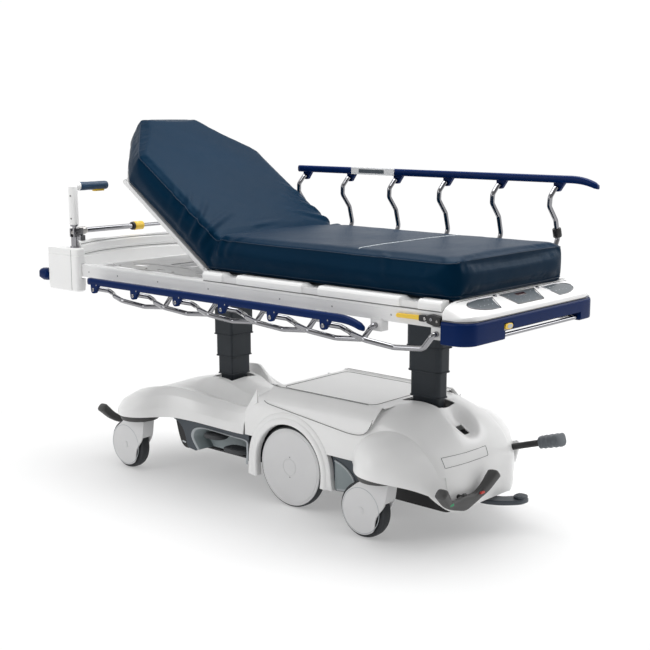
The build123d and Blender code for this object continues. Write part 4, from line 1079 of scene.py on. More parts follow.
def steer_pedal(end, px, out):
    """Rocking bar with an upturned toe pad at each end, on a round spindle."""
    body = f"steer_pedal_{end}"
    yc = -0.154
    line = smooth_line([(-0.158, 0.226), (-0.140, 0.208), (-0.108, 0.178), (-0.066, 0.157), (0.0, 0.150),
                        (0.066, 0.157),
                        (0.108, 0.178), (0.140, 0.208), (0.158, 0.226)], per=5)
    rings = []
    n = len(line)
    for k, (v, z) in enumerate(line):
        a, b = line[max(k - 1, 0)], line[min(k + 1, n - 1)]
        t = Vector((0, b[0] - a[0], b[1] - a[1])).normalized()
        up = Vector((0, -t.z, t.y))
        e = abs(v) / 0.158
        tall = 0.015 + 0.011 * math.exp(-(v / 0.04) ** 2) + 0.004 * max(0.0, (e - 0.5) / 0.5)
        wide = 0.013 + 0.010 * max(0.0, (e - 0.50) / 0.50)
        shift = 0.016 * max(0.0, (e - 0.5) / 0.5) * out
        taper = 0.55 if k in (0, n - 1) else 0.85 if k in (1, n - 2) else 1.0
        ring = []
        for q in turn(16):
            cx = soft_cos(q, 0.6) * wide * taper
            cz = soft_sin(q, 0.6) * tall * taper
            ring.append(Vector((px + shift + cx, yc + v, z)) + up * cz)
        rings.append(ring)
    bar = loft(f"steer_bar_{end}", rings, body, COLLAR, sharp=60)
    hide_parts(body)
    for v, mat, tag in ((-0.100, GREEN, "steer"), (0.078, RED, "brake")):
        plate(f"steer_mark_{end}_{tag}", rounded([(yc + v - 0.011, 0.167), (yc + v + 0.011, 0.167),
                                                  (yc + v + 0.010, 0.174), (yc + v - 0.010, 0.174)], 0.002),
              px + out * 0.014, px + out * 0.0215, "yz", body, mat, bevel=0.0005)
    lathe(f"steer_spindle_{end}", [(0, -0.052), (0.0088, -0.052), (0.0088, 0.010), (0.016, 0.0125),
                                   (0.017, 0.018), (0.014, 0.0215), (0, 0.022)],
          (px - out * 0.018, yc, 0.165), (out, 0, 0), body, BLACK, steps=28)


steer_pedal("foot", 0.918, 1)
steer_pedal("head", -0.790, -1)

arm_line = smooth_line([(0.752, 0.250, 0.224), (0.800, 0.250, 0.228), (0.880, 0.250, 0.254),
                        (0.965, 0.250, 0.281)], per=5)
arm = tube("pump_arm", arm_line, 0.0118, "pump_pedal", BLACK, steps=16)
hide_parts("pump_pedal")
grip_rings = []
for k in range(25):
    t = k / 24
    p = Vector((0.962, 0.250, 0.2815)).lerp(Vector((1.046, 0.250, 0.306)), t)
    swell_r = 0.0215 + 0.0016 * math.cos(2 * math.pi * t * 4) + 0.0015 * t
    if k in (0, 24):
        swell_r *= 0.72
    ring = []
    for q in turn(20):
        side = soft_cos(q, 0.7) * swell_r * 1.28
        lift = soft_sin(q, 0.7) * swell_r
        ring.append(p + Vector((-0.28 * lift, side, 0.96 * lift)))
    grip_rings.append(ring)
loft("pump_grip", grip_rings, "pump_pedal", GRIP_GREY, sharp=60)
lathe("pump_shaft", pin(PEDAL_SHAFT_R, -0.030, 0.012), (0.760, 0.250, 0.228), "y", "pump_pedal", STEEL,
      steps=20)

release = rounded([(0.792, 0.032), (0.880, 0.022), (0.934, 0.046), (0.984, 0.100), (0.985, 0.148),
                   (0.942, 0.149), (0.902, 0.092), (0.792, 0.088)],
                  [0.008, 0.02, 0.03, 0.03, 0.015, 0.012, 0.03, 0.008])
lower = plate("release_lever", release, 0.091, 0.108, "xy", "release_pedal", SKIRT, bevel=0.005, segments=4)
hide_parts("release_pedal")
top = pad("release_toe", (0.962, 0.124, 0.112), (0.022, 0.026), 0.012, "release_pedal", SKIRT, ribs=4)
lathe("release_shaft", pin(PEDAL_SHAFT_R, -0.045, 0.045), (0.800, 0.060, 0.100), "y", "release_pedal",
      STEEL, steps=20)
frame_line = rounded([(-0.188, 0.264), (0.040, 0.264), (0.040, 0.296), (-0.188, 0.296)], 0.004)


def on_hood(y, z):
    """Point on the front of the foot cover, level with (y, z)."""
    ok, place, normal, _ = hood_foot.ray_cast(Vector((1.2, y, z)), Vector((-1, 0, 0)))
    return place + normal * 0.0004 if ok else Vector((0.88, y, z))


outline = []
for k, start in enumerate(frame_line):
    end = frame_line[(k + 1) % len(frame_line)]
    outline += [on_hood(*np.array(start) * (1 - t) + np.array(end) * t) for t in (0.0, 0.25, 0.5, 0.75)]
tube("front_plate_line", [*outline, outline[0]], 0.0009, "base", SEAM, steps=6, sharp=180)


# ---- litter: frame, side covers -----------------------------------------------------
def box_rings(low, high, edge, steps=4):
    """Block with rounded edges all round, as rings from bottom to top."""
    (x0, y0, z0), (x1, y1, z1) = low, high
    rings = []
    for z, cut in ((z0, edge), (z0 + edge, 0), (z1 - edge, 0), (z1 - edge * 0.35, edge * 0.35), (z1, edge)):
        line = rounded([(x0 + cut, y0 + cut), (x1 - cut, y0 + cut), (x1 - cut, y1 - cut),
                        (x0 + cut, y1 - cut)], edge + 0.002, steps=steps)
        rings.append([Vector((x, y, z)) for x, y in line])
    return rings


# Rail spindle pivots: spacing, the one nearest the foot end, and their height.
RAIL_PITCH, LAST_PIVOT, PIVOT_Z = 0.2415, 0.955, 0.757
BEAM_SECTION = [(0.3365, 0.776), (0.3385, 0.774), (0.3665, 0.774), (0.369, 0.776), (0.3695, 0.781),
                (0.3695, 0.812), (0.3712, 0.8145),
                (0.3712, 0.8205), (0.369, 0.8232), (0.364, 0.824), (0.340, 0.824), (0.3365, 0.8215)]
for name, s in SIDES.items():
    rings = [[Vector((x, s * y, z)) for y, z in BEAM_SECTION] for x in (-0.960, -0.958, 0.973, 0.975)]
    loft(f"beam_{name}", rings, "litter", FRAME_WHITE, bevel=0.0012, sharp=50)
    for k, x in enumerate((-0.78, -0.60, -0.36, -0.08, 0.28, 0.52, 0.77)):
        sink(f"beam_dot_{name}_{k + 1}", (x, s * 0.3696, 0.796), (0, s, 0), 0.0032, "litter", depth=0.0008,
             head=SEAM)
    # Rail pivot blocks under the beam.
    for k in range(6):
        x = LAST_PIVOT - RAIL_PITCH * k
        corners = side_box(s, (x - 0.020, x + 0.020), (0.342, 0.3775), (0.7385, 0.7775))
        loft(f"rail_block_{name}_{6 - k}", box_rings(*corners, 0.005), "litter", FRAME_WHITE,
                     sharp=40)

COVER_STEPS = [(0.016, 0.062), (0.406, 0.452), (0.826, 0.872)]


def side_cover(name, s):
    """Moulded strip along the seat deck, stepped in at the grey finger scoops."""
    stations = [(-0.108, 0)]
    for a, b in COVER_STEPS:
        stations += [(a - 0.024, 0), (a, 1), (b, 1), (b + 0.004, 0)]
    stations.append((0.966, 0))
    rings = []
    for x, deep in stations:
        out, top = 0.3715 - 0.024 * deep, 0.8585 - 0.012 * deep
        section = [(0.330, 0.8262), (out - 0.001, 0.8262), (out, 0.8285), (out, top - 0.011),
                   (out - 0.003, top - 0.005), (out - 0.010, top), (0.330, top)]
        rings.append([Vector((x, s * y, z)) for y, z in section])
    loft(f"deck_cover_{name}", rings, "litter", WHITE, bevel=0.0015, sharp=25)
    for k, (a, b) in enumerate(COVER_STEPS):
        line = [(a - 0.012, 0.8268), (b - 0.002, 0.8268), (b - 0.004, 0.844), (a + 0.004, 0.844)]
        plate(f"deck_scoop_{name}_{k + 1}", line, s * 0.3472, s * 0.3496, "xz", "litter", SCOOP,
              bevel=0.0006)
    tube(f"deck_gap_{name}", [(-0.105, s * 0.3688, 0.8252), (0.965, s * 0.3688, 0.8252)], 0.0013, "litter",
         SEAM, steps=6)
    # End cap beside the fold, with its fold pin.
    corners = side_box(s, (-0.112, -0.072), (0.318, 0.370), (0.8255, 0.853))
    loft(f"fold_cap_{name}", box_rings(*corners, 0.006), "litter", WHITE, sharp=40)
    lathe(f"fold_pin_{name}", [(0, 0), (0.0105, 0), (0.0105, 0.0025), (0.0085, 0.004), (0, 0.004)],
          (-0.127, s * 0.3365, 0.838), (0, s, 0),
          "litter", CHROME, steps=28)
    # Curb that the stowed backrest edge lands on; the mechanism panel under the backrest is made after this
    # function.
    tube(f"inner_lip_{name}", [(-0.955, s * 0.334, 0.8215), (-0.140, s * 0.334, 0.8215)], 0.0032, "litter",
         FRAME_WHITE, steps=10)


for name, s in SIDES.items():
    side_cover(name, s)

under_line = [(-0.775, -0.250), (-0.700, -0.290), (-0.300, -0.300), (-0.150, -0.300), (-0.150, 0.300),
              (-0.300, 0.300), (-0.700, 0.290), (-0.775, 0.250)]
holes = [rounded([(x - w, y - 0.016), (x + w, y - 0.016), (x + w, y + 0.016), (x - w, y + 0.016)], 0.0155,
                 steps=5)
         for x, y, w in ((-0.245, -0.245, 0.030), (-0.245, 0.245, 0.030), (-0.640, -0.215, 0.040),
                         (-0.640, 0.215, 0.040), (-0.245, -0.110, 0.016),
                         (-0.245, 0.110, 0.016), (-0.470, -0.255, 0.016), (-0.470, 0.255, 0.016))]
holes.append(rounded([(-0.400, -0.085), (-0.262, -0.085), (-0.262, 0.085), (-0.400, 0.085)], 0.012))
holes.append(rounded([(-0.570, -0.130), (-0.440, -0.130), (-0.440, 0.130), (-0.570, 0.130)], 0.030))
plate("mechanism_panel", under_line, 0.8185, 0.821, "xy", "litter", PLATE, bevel=0, holes=holes)
for name, s in SIDES.items():
    for k, x in enumerate((-0.700, -0.540, -0.380, -0.190)):
        sink(f"mechanism_screw_{name}_{k + 1}", (x, s * 0.275, 0.821), (0, 0, 1), 0.0055, "litter",
             depth=0.0025)
    path = [(-0.720, s * 0.190, 0.8205), (-0.620, s * 0.165, 0.8215), (-0.420, s * 0.165, 0.8215),
            (-0.330, s * 0.200, 0.8205), (-0.180, s * 0.205, 0.8205)]
    tube(f"mechanism_rib_{name}", smooth_line(path, per=4), 0.0035, "litter", PLATE, steps=10)


# ---- foot console, bumper and pull bar ----------------------------------------------
rings = []
for k in range(41):
    v = -1 + 2 * k / 40
    y = 0.381 * math.sin(v * math.pi / 2)
    e = max(0.0, (abs(y) - 0.291) / 0.090)
    fall = 1 - math.sqrt(max(0.0, 1 - e ** 2.8))
    nose = 1.0745 - 0.058 * fall
    inner, outer = 0.856 - 0.036 * fall, 0.820 - 0.012 * fall
    ring = []
    for u, z in ((0.0, 0.8035), (0.0, inner - 0.004), (0.05, inner), (0.16, inner - 0.0015),
                 (0.40, inner - 0.30 * (inner - outer)),
                 (0.66, inner - 0.62 * (inner - outer)), (0.88, inner - 0.90 * (inner - outer)),
                 (0.97, outer - 0.001), (1.0, outer - 0.007), (1.0, 0.8035)):
        ring.append(Vector((0.977 + (nose - 0.977) * u, y, max(z, 0.8035))))
    rings.append(ring)
console = loft("foot_console", rings, "litter", WHITE, bevel=0.001, sharp=55)
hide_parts("foot_cover")


def on_console(x, y, lift=0.001):
    """Point on top of the console, lifted off it."""
    ok, place, normal, _ = console.ray_cast(Vector((x, y, 1.0)), Vector((0, 0, -1)))
    return place + normal * lift if ok else Vector((x, y, 0.84))


def console_pad(name, outline, mat, lift=0.001, inset=0.0, rows=7):
    """Patch that follows the console, from an outline of (x, y) given as near and far edges."""
    centre = np.array(outline).mean(axis=0)
    rings = []
    for share in [1 - 0.98 * k / rows for k in range(rows + 1)]:
        rings.append([on_console(*(centre + (np.array(p) - centre) * share * (1 - inset)), lift=lift
                                 if share < 1 else 0.0) for p in outline])
    return loft(name, rings, "litter", mat, caps=False, sharp=60)


def curve_d(y_flat, y_tip, x0, x1):
    """D shape: straight slanted edge towards the middle, round at the other end."""
    s = 1 if y_tip > y_flat else -1
    line = [(x0 + 0.003, y_flat), (x1 - 0.001, y_flat + s * 0.028)]
    n = 12
    for k in range(1, n):
        t = math.pi * k / n
        line.append(((x0 + x1) / 2 + (x1 - x0) / 2 * math.cos(t) - 0.004 * math.sin(t),
                     y_flat + s * 0.050 + (y_tip - y_flat - s * 0.050) * math.sin(t)))
    return line[::-1]


pads = {"near": curve_d(-0.150, -0.312, 0.999, 1.058), "far": curve_d(0.150, 0.312, 0.999, 1.058),
        "mid": [(0.999, -0.104), (0.999, 0.104), (1.058, 0.078), (1.058, -0.078)][::-1]}
for name, outline in pads.items():
    line = rounded(outline, 0.004, steps=3) if name == "mid" else outline
    pad_top = console_pad(f"touch_pad_{name}", line, FILM)
    if name == "mid":
        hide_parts("touch_panels")
    rim = [on_console(x, y, lift=0.0006) for x, y in line]
    tube(f"touch_rim_{name}", [*rim, rim[0]], 0.0016, "litter", CHROME if name != "mid" else SEAM, steps=8)
console_pad("display_window", rounded([(1.006, -0.036), (1.006, 0.036), (1.023, 0.033),
                                       (1.023, -0.033)][::-1], 0.002), DISPLAY, lift=0.0018, rows=3)
keys = [(1.012, -0.066), (1.012, 0.066), (1.035, -0.060), (1.035, -0.030), (1.035, 0.0), (1.035, 0.030),
        (1.035, 0.060), (1.050, -0.044), (1.050, 0.0), (1.050, 0.044)]
keys += [(x, s * y) for x, y in ((1.034, 0.192), (1.034, 0.214), (1.034, 0.236), (1.034, 0.258),
                                 (1.013, 0.186), (1.013, 0.208)) for s in (-1, 1)]
for k, (x, y) in enumerate(keys):
    r = 0.0042 if abs(y) > 0.1 else 0.0034
    line = [(x + 0.75 * r * math.cos(t), y + r * math.sin(t)) for t in turn(14)]
    console_pad(f"touch_key_{k + 1}", line, PRINT, lift=0.0017, rows=1)
hinge_line = [on_console(0.993, -0.330 + 0.66 * k / 40, lift=0.0004) for k in range(41)]
tube("console_seam", hinge_line, 0.0009, "litter", SEAM, steps=6)
for name, s in SIDES.items():
    knob = on_console(1.000, s * 0.128, lift=0.0)
    lathe(f"console_button_{name}", [(0, 0), (0.007, 0), (0.0065, 0.0025), (0.004, 0.0035), (0, 0.0035)],
          knob, (0.25, 0, 1), "litter", CHROME, steps=20)


def bumper_path(shift):
    """Plan line of the bumper, offset inwards by shift."""
    half, nose, r = 0.390 - shift, 1.080 - shift, 0.055 - shift * 0.6
    line = [(0.978, -half), (nose - r, -half)]
    line += [(nose - r + r * math.sin(t), -half + r * (1 - math.cos(t)))
             for t in (math.pi / 2 * k / 8 for k in range(1, 9))]
    line += [(nose, -half + r + (half - r) * 2 * k / 12) for k in range(1, 12)]
    line += [(nose - r * (1 - math.cos(t)), half - r * (1 - math.sin(t)))
             for t in (math.pi / 2 * k / 8 for k in range(8))]
    line += [(nose - r, half), (0.978, half)]
    return line


section = [(0.032, 0.7275), (0.006, 0.7275), (0.001, 0.730), (0.0, 0.736), (0.0, 0.788), (0.001, 0.795),
           (0.004, 0.799), (0.009, 0.801), (0.032, 0.801)]
lines = [bumper_path(shift) for shift, z in section]
rings = [[Vector((lines[j][k][0], lines[j][k][1], section[j][1])) for j in range(len(section))]
         for k in range(len(lines[0]))]
bumper = loft("foot_bumper", rings, None, NAVY, bevel=0, sharp=35)
for low, high in (((1.035, -0.185, 0.700), (1.10, 0.285, 0.7575)),
                  ((1.060, -0.192, 0.757), (1.10, -0.140, 0.780))):
    carve(bumper, [cutter(block, low, high)])
bumper.data.set_sharp_from_angle(angle=math.radians(30))
edge = bumper.modifiers.new("edge", "BEVEL")
edge.width, edge.segments, edge.limit_method, edge.harden_normals = 0.0018, 2, "ANGLE", True
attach(bumper, "litter")
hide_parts("bumpers")
plate("bumper_back", [(-0.182, 0.742), (0.282, 0.742), (0.282, 0.7575), (-0.182, 0.7575)], 1.035, 1.0385,
      "yz", "litter", BLACK, bevel=0)
seam = [(x, y, 0.8022) for x, y in bumper_path(0.005)]
tube("bumper_seam", seam, 0.0011, "litter", SEAM, steps=6)
for name, s in SIDES.items():
    block_rings = box_rings(*side_box(s, (-1.080, -1.020), (0.357, 0.404), (0.7425, 0.7915)), 0.013,
                            steps=5)
    loft(f"corner_bumper_{name}", block_rings, "litter", NAVY, sharp=50)

bar = [(1.012, -0.180, 0.738), (1.056, -0.180, 0.738), (1.064, -0.172, 0.738), (1.064, 0.272, 0.738),
       (1.056, 0.280, 0.738), (1.012, 0.280, 0.738)]
tube("pull_bar", [tuple(p) for p in tighten(bar, 0.3)], 0.007, "litter", CHROME, steps=14,
             sharp=70)
tube("latch_rod", [(1.0555, -0.168, 0.7535), (1.0555, 0.262, 0.7535)], 0.004, "litter", STEEL, steps=12)
oval = [(-0.165 + 0.0215 * soft_cos(t, 0.7), 0.7685 + 0.0098 * soft_sin(t, 0.7))
        for t in turn(32)]
latch = plate("foot_latch_cap", oval, 1.060, 1.0825, "yz", "foot_latch", YELLOW, bevel=0.0028, segments=3)
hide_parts("foot_latch")
inner = [(-0.163 + (y + 0.165) * 0.62, 0.7685 + (z - 0.7685) * 0.60) for y, z in oval]
plate("foot_latch_mark", inner, 1.0822, 1.0832, "yz", "foot_latch", PRINT, bevel=0)


# ---- side rails -------------------------------------------------------------------------
RAIL_LEAN = {"near": math.radians(92), "far": math.radians(9.2)}
SPINDLE_REACH, FIRST_PIVOT = 0.415, LAST_PIVOT - 5 * RAIL_PITCH
RAIL_Y = 0.426


def rail(name, s):
    """Top rail with its six clevises, level at the lean of its spindles."""
    body = f"side_rail_{name}"
    a = RAIL_LEAN[name]
    pin_x, pin_z = FIRST_PIVOT - SPINDLE_REACH * math.sin(a), PIVOT_Z + SPINDLE_REACH * math.cos(a)
    mid = pin_z + 0.030
    x0, x1 = pin_x - 0.040, pin_x + 5 * RAIL_PITCH + 0.162
    line = [(x0, mid), (x0 + 0.004, mid), (x0 + 0.02, mid)]
    line += [(x0 + 0.02 + (x1 - 0.130 - x0 - 0.02) * k / 12, mid) for k in range(1, 13)]
    line += [(x1 - 0.130 + 0.130 * t, mid - 0.0225 * t ** 2.6 + 0.001 * math.sin(math.pi * t))
             for t in (k / 10 for k in range(1, 11))]
    rings = []
    for k, (x, z) in enumerate(line):
        t = max(0.0, (x - x1 + 0.130) / 0.130)
        tall, wide = 0.0138 - 0.003 * t ** 2, 0.0128 - 0.0008 * t
        if k == 0:
            tall, wide = tall * 0.72, wide * 0.72
        if k == len(line) - 1:
            tall, wide = tall * 0.70, wide * 0.70
        ring = []
        for q in turn(20):
            ring.append(Vector((x, s * RAIL_Y + soft_cos(q, 0.62) * wide, z + soft_sin(q, 0.55) * tall)))
        rings.append(ring)
    bar = loft(f"rail_bar_{name}", rings, body, NAVY, sharp=60)
    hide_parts(body)
    for k in range(6):
        x = pin_x + RAIL_PITCH * k
        shape = rounded([(x - 0.016, mid - 0.006), (x - 0.0145, pin_z - 0.006), (x - 0.008, pin_z - 0.0145),
                         (x + 0.008, pin_z - 0.0145), (x + 0.0145, pin_z - 0.004),
                         (x + 0.030, mid - 0.012), (x + 0.034, mid - 0.004)],
                        [0.004, 0.008, 0.008, 0.008, 0.008, 0.008, 0.003])
        plate(f"rail_clevis_{name}_{k + 1}", shape, s * 0.424, s * 0.439, "xz", body, NAVY, bevel=0.0022,
              segments=3)
        sink(f"rail_screw_{name}_{k + 1}", (x, s * 0.439, pin_z), (0, s, 0), 0.0075, body, depth=0.0028,
             head=CHROME)
        tube(f"rail_rivet_{name}_{k + 1}", [(x + 0.021, s * 0.4385, mid - 0.010),
                                            (x + 0.021, s * 0.4398, mid - 0.010)], 0.0028, body, CHROME,
             steps=12)
    return pin_x, mid


for name, s in SIDES.items():
    pin_x, mid = rail(name, s)
    if name == "far":
        a, b = pin_x + RAIL_PITCH + 0.018, pin_x + 2 * RAIL_PITCH - 0.004
        label = rounded([(a, mid - 0.0135), (b, mid - 0.0135), (b, mid + 0.014), (a, mid + 0.014)], 0.003)
        plate("rail_label_plate", label, 0.4108, 0.415, "xz", "side_rail_far", WHITE, bevel=0.001)
        inner = rounded([(a + 0.040, mid - 0.007), (b - 0.050, mid - 0.007), (b - 0.050, mid + 0.008),
                         (a + 0.040, mid + 0.008)], 0.002)
        plate("rail_label_print", inner, 0.4103, 0.4109, "xz", "side_rail_far", FILM, bevel=0)


def on_spindle(along, bow, y, pivot=LAST_PIVOT, angle=RAIL_LEAN["far"]):
    """Point beside a far spindle: distance up it, and bow towards the head end."""
    return Vector((pivot - along * math.sin(angle) - bow * math.cos(angle), y,
                   PIVOT_Z + along * math.cos(angle) - bow * math.sin(angle)))


# Black clamp near the top of the far foot-end spindle.
low, high = on_spindle(0.240, 0.029, 0.4405), on_spindle(0.272, 0.0243, 0.4315)
lathe("spindle_clamp", [(0.0098, -0.016), (0.015, -0.0155), (0.0158, -0.013), (0.0158, 0.013),
                        (0.015, 0.0155), (0.0098, 0.016)],
      (low + high) / 2, tuple(high - low), "rail_spindle_far_6", BLACK, steps=32, caps=False)

# Yellow rail levers with their black clevis.
for name, s in SIDES.items():
    body = f"rail_latch_{name}"
    line = rounded([(0.798, 0.7925), (0.880, 0.7935), (0.893, 0.7925), (0.893, 0.8075), (0.880, 0.8085),
                    (0.800, 0.8065), (0.794, 0.7995)], 0.003)
    lever = plate(f"rail_lever_{name}", line, s * 0.3724, s * 0.3796, "xz", body, YELLOW, bevel=0.0018)
    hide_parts(body)
    fork = rounded([(0.886, 0.790), (0.905, 0.7895), (0.9195, 0.7935), (0.9205, 0.805), (0.908, 0.8115),
                    (0.886, 0.810)], 0.005)
    plate(f"rail_lever_fork_{name}", fork, s * 0.3712, s * 0.3802, "xz", body, BLACK, bevel=0.0018)
    sink(f"rail_lever_pin_{name}", (0.910, s * 0.3802, 0.800), (0, s, 0), 0.0052, body, depth=0.0016)
    arm_block = rounded([(0.918, 0.788), (0.952, 0.780), (0.972, 0.784), (0.972, 0.812), (0.940, 0.818),
                         (0.922, 0.814)], 0.005)
    plate(f"rail_catch_{name}", arm_block, s * 0.370, s * 0.385, "xz", "litter", BLACK, bevel=0.003)
    sink(f"rail_catch_bolt_{name}_1", (0.938, s * 0.385, 0.801), (0, s, 0), 0.0052, "litter", depth=0.0025,
         head=CHROME)
    sink(f"rail_catch_bolt_{name}_2", (0.960, s * 0.385, 0.797), (0, s, 0), 0.004, "litter", depth=0.002,
         head=STEEL)
tube("foot_post", [(0.962, 0.357, 0.824), (0.962, 0.357, 0.846)], 0.0065, "litter", BLACK, steps=16)


# ---- head end: curved panel, pillars, handles and drip pole ---------------------------------
def arc_point(t, inset=0.0):
    """Point on the outer arc of the head panel, with inset towards the foot end."""
    r = 0.6445
    half = math.asin(0.340 / r)
    q = half * t
    return (-1.002 + r - (r - inset) * math.cos(q), (r - inset) * math.sin(q))


PILLAR_X, PILLAR_Y = -0.925, 0.370
HANDLE_X, HANDLE_Y, HANDLE_FOLD_Z = -0.890, 0.352, 0.947
panel_section = [(0.001, 0.772), (0.0235, 0.772), (0.0235, 0.842), (0.0205, 0.846), (0.0205, 0.860),
                 (0.0235, 0.864), (0.0235, 0.889), (0.019, 0.893), (0.0185, 0.901),
                 (0.015, 0.906), (0.007, 0.908), (0.002, 0.9055), (0.0, 0.900)]
rings = [[Vector((*arc_point(t, inset), z)) for inset, z in panel_section]
         for t in (-0.985 + 1.97 * k / 36 for k in range(37))]
panel = loft("head_panel", rings, "litter", WHITE, bevel=0.0012, sharp=40)
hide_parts("head_end")
for z, tag in ((0.853, "low"), (0.8965, "top")):
    tube(f"head_panel_seam_{tag}", [(*arc_point(t, 0.0213 if tag == "low" else 0.0192), z)
                                    for t in (-0.96 + 1.92 * k / 30 for k in range(31))], 0.0011, "litter",
         SEAM, steps=6)

for name, s in SIDES.items():
    cx, cy = PILLAR_X, s * PILLAR_Y
    rings = []
    for z, cut in ((0.712, 0.006), (0.717, 0.001), (0.735, 0.0), (0.856, 0.0), (0.8585, 0.0018),
                   (0.861, 0.0), (0.880, 0.0), (0.8845, 0.0016), (0.886, 0.005)):
        line = rounded([(cx - 0.099 + cut, cy - 0.025 + cut), (cx + 0.099 - cut, cy - 0.025 + cut),
                        (cx + 0.099 - cut, cy + 0.025 - cut), (cx - 0.099 + cut, cy + 0.025 - cut)], 0.016,
                       steps=5)
        rings.append([Vector((x, y, z)) for x, y in line])
    pillar = loft(f"head_pillar_{name}", rings, None, WHITE, sharp=35)
    notch = cutter(block, *side_box(s, (-0.981, -0.819), (0.330, 0.3715), (0.7625, 0.8255)))
    hole = cutter(lathe, pin(0.0208, 0.899, 0.930), (HANDLE_X, s * HANDLE_Y, 0), "z")
    carve(pillar, [notch, hole])
    pillar.data.set_sharp_from_angle(angle=math.radians(35))
    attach(pillar, "litter")
    tube(f"pillar_seam_{name}_a", [(cx + 0.062, s * 0.3948, 0.719), (cx + 0.062, s * 0.3948, 0.880)], 0.001,
         "litter", SEAM, steps=6)
    # Posts, fold joints and sleeves of the push handles.
    hx, hy, fold_z = HANDLE_X, s * HANDLE_Y, HANDLE_FOLD_Z
    lathe(f"handle_socket_{name}", [(0.0152, 0.8862), (0.020, 0.8862), (0.020, 0.8905), (0.019, 0.8925),
                                    (0.0152, 0.8925)], (hx, hy, 0), "z", "litter", CHROME, steps=40,
          caps=False)
    lathe(f"handle_post_{name}", [(0, 0.8865), (0.015, 0.8865), (0.015, 0.929), (0.014, 0.930),
                                          (0, 0.930)], (hx, hy, 0), "z", "litter", CHROME, steps=40)
    body = f"push_handle_{name}"
    lathe(f"handle_knuckle_{name}", [(0, -0.0084), (0.0115, -0.0084), (0.012, -0.0078), (0.012, 0.0078),
                                     (0.0115, 0.0084), (0, 0.0084)], (hx, hy, fold_z), "x", body, STEEL,
          steps=32)
    lathe(f"handle_tongue_{name}", [(0, 0.004), (0.0085, 0.004), (0.0085, 0.0235), (0.0165, 0.026),
                                    (0.0165, 0.033), (0, 0.033)], (hx, hy, fold_z), "z", body, CHROME,
          steps=32)
    sleeve = lathe(f"handle_sleeve_{name}", [(0, 0.033), (0.0165, 0.033), (0.0182, 0.0345), (0.019, 0.038),
                                             (0.019, 0.178), (0.0182, 0.187), (0.015, 0.190), (0, 0.190)],
                   (hx, hy, fold_z), "z", body, WHITE, steps=44)
    elbow_line = [(hx, hy, fold_z + 0.165), (hx, hy - s * 0.002, fold_z + 0.180),
                  (hx, hy - s * 0.014, fold_z + 0.1865), (hx, hy - s * 0.024, fold_z + 0.1868),
                  (hx, hy - s * 0.032, fold_z + 0.1868)]
    tube(f"handle_elbow_{name}", smooth_line(elbow_line, per=5), [0.017] * 21, body, WHITE, steps=32)
    grip = lathe(f"handle_grip_{name}", [(0, 0.028), (0.0158, 0.028), (0.0172, 0.0305), (0.0175, 0.050),
                                         (0.0166, 0.075), (0.0173, 0.092), (0.0168, 0.110), (0.0174, 0.130),
                                         (0.0172, 0.160), (0.016, 0.1685), (0.011, 0.1705), (0, 0.171)],
                 (hx, hy, fold_z + 0.1865), (0, -s, 0), body, GRIP_BLUE, steps=36)
    trigger_slot = side_box(s, (hx - 0.0092, hx + 0.0092), (0.193, 0.255), (fold_z + 0.160, fold_z + 0.179))
    carve(grip, [cutter(block, *trigger_slot)])
    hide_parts(body)
    for z in (0.058, 0.150):
        sink(f"sleeve_screw_{name}_{'low' if z < 0.1 else 'top'}", (hx + 0.0055, hy - 0.0181, fold_z + z),
             (0.29, -0.95, 0), 0.0036, body, depth=0.0008, head=SEAM)
    trig = rounded([(s * 0.1975, fold_z + 0.1635), (s * 0.251, fold_z + 0.1635),
                    (s * 0.251, fold_z + 0.1745), (s * 0.1975, fold_z + 0.1745)], 0.003)
    trigger = plate(f"trigger_pad_{name}", trig, hx - 0.007, hx + 0.007, "yz", f"handle_trigger_{name}",
                    YELLOW, bevel=0.0022, segments=3)
    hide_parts(f"handle_trigger_{name}")

pole_y, pole = -0.290, (-0.945, 0, HANDLE_FOLD_Z)
outer = lathe("drip_tube", [(0, pole_y - 0.010), (0.011, pole_y - 0.010), (0.011, pole_y + 0.298),
                            (0.0082, pole_y + 0.298), (0.0082, pole_y + 0.018), (0, pole_y + 0.018)],
              pole, "y", "drip_pole_tube", CHROME, steps=36)
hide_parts("drip_pole_tube")
knurl = []
for y0, r0 in ((-0.004, 0.0125), (0.004, 0.016), (0.008, 0.015), (0.011, 0.0162), (0.014, 0.015),
               (0.017, 0.0162), (0.020, 0.015), (0.023, 0.0162), (0.026, 0.015), (0.030, 0.016),
               (0.038, 0.0125)):
    knurl.append((r0, pole_y + y0))
lathe("drip_clamp", knurl, pole, "y", "drip_pole_tube", STEEL, steps=24, caps=False)
lathe("drip_ring_black", [(0.0112, pole_y + 0.281), (0.0165, pole_y + 0.281), (0.0172, pole_y + 0.283),
                          (0.0172, pole_y + 0.292), (0.0112, pole_y + 0.292)], pole, "y",
      "drip_pole_tube", BLACK, steps=36, caps=False)
lathe("drip_ring_yellow", [(0.0084, pole_y + 0.292), (0.0185, pole_y + 0.292), (0.019, pole_y + 0.297),
                           (0.0178, pole_y + 0.315), (0.0188, pole_y + 0.333), (0.0182, pole_y + 0.338),
                           (0.0084, pole_y + 0.338)], pole, "y", "drip_pole_tube", YELLOW, steps=36,
      caps=False)
rod = lathe("drip_rod", [(0, pole_y + 0.020), (0.008, pole_y + 0.020), (0.008, pole_y + 0.4985),
                         (0.0068, pole_y + 0.500), (0, pole_y + 0.500)], pole, "y", "drip_pole_rod", CHROME,
            steps=28)
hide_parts("drip_pole_rod")


def back_box(low, high, edge, name, mat):
    """Rounded block placed in the backrest plane: along, across and up from the hinge."""
    rings = [[back_point(p.x, p.z) + Vector((0, p.y, 0)) for p in ring]
             for ring in box_rings(low, high, edge)]
    return loft(name, rings, "backrest", mat, sharp=40)


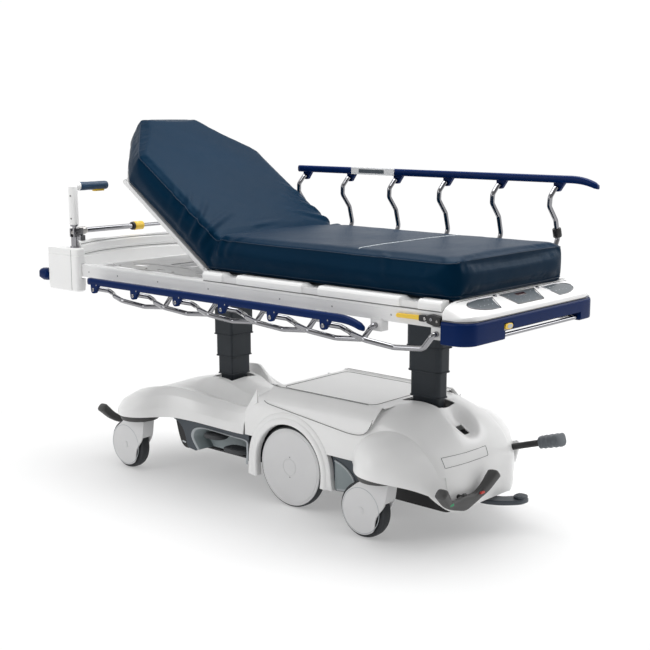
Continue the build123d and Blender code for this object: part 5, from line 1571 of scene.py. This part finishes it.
outline = [(0.030, -0.3285), (0.552, -0.3285), (0.786, -0.148), (0.786, 0.148), (0.552, 0.3285),
           (0.030, 0.3285)]
shell_line = rounded(outline, [0.004, 0.03, 0.02, 0.02, 0.03, 0.004])
rings = []
for h, inset in ((0.0085, 0.004), (0.006, 0.0015), (0.003, 0.0), (0.0035, 0.0), (0.012, 0.0015),
                 (0.0135, 0.006)):
    centre = np.array([0.38, 0.0])
    ring = []
    for a_, y_ in shell_line:
        d = np.array([a_, y_]) - centre
        d *= 1 - inset / np.linalg.norm(d)
        ring.append(back_point(centre[0] + d[0], h) + Vector((0, centre[1] + d[1], 0)))
    rings.append(ring)
loft("backrest_tray", rings, "backrest", FRAME_WHITE, sharp=40)
for name, s in SIDES.items():
    back_box(*side_box(s, (0.010, 0.585), (0.300, 0.322), (-0.0115, 0.0055)), 0.004,
             f"backrest_rail_{name}", FRAME_WHITE)


# ---- plain finishes for CAD nodes ---------------------------------------------------
CAD_FINISH = {
    "hood_head": WHITE, "hood_foot": WHITE, "hood_lid": WHITE, "foot_cover": WHITE, "head_end": WHITE,
    "seat_deck": FRAME_WHITE, "litter_frame": FRAME_WHITE, "backrest_frame": FRAME_WHITE,
    "column_top_head": SLATE, "column_top_foot": SLATE, "column_stage_2": SLATE, "column_stage_3": SLATE,
    "column_feet": SLATE, "chassis": DARK, "side_skirts": SKIRT, "side_pump_pedals": PEDAL,
    "side_release_pedals": PEDAL, "release_pedal": SKIRT, "caster_collars": COLLAR,
    "steer_pedal_head": COLLAR, "steer_pedal_foot": COLLAR, "pump_pedal": BLACK, "fittings": CHROME,
    "drip_pole_tube": CHROME, "drip_pole_rod": CHROME, "bumpers": NAVY, "touch_panels": FILM,
    "foot_latch": YELLOW,
}
for side in SIDES:
    CAD_FINISH.update({f"side_rail_{side}": NAVY, f"rail_latch_{side}": YELLOW,
                       f"push_handle_{side}": WHITE,
                       f"handle_trigger_{side}": YELLOW, f"big_wheel_{side}": WHEEL_WHITE})
    CAD_FINISH.update({f"rail_spindle_{side}_{k}": CHROME for k in range(1, 7)})
    for end in ("head", "foot"):
        CAD_FINISH.update({f"caster_fork_{end}_{side}": WHEEL_WHITE, f"caster_wheel_{end}_{side}": TYRE})
for node, mat in CAD_FINISH.items():
    dress(node, mat)

low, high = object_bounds()
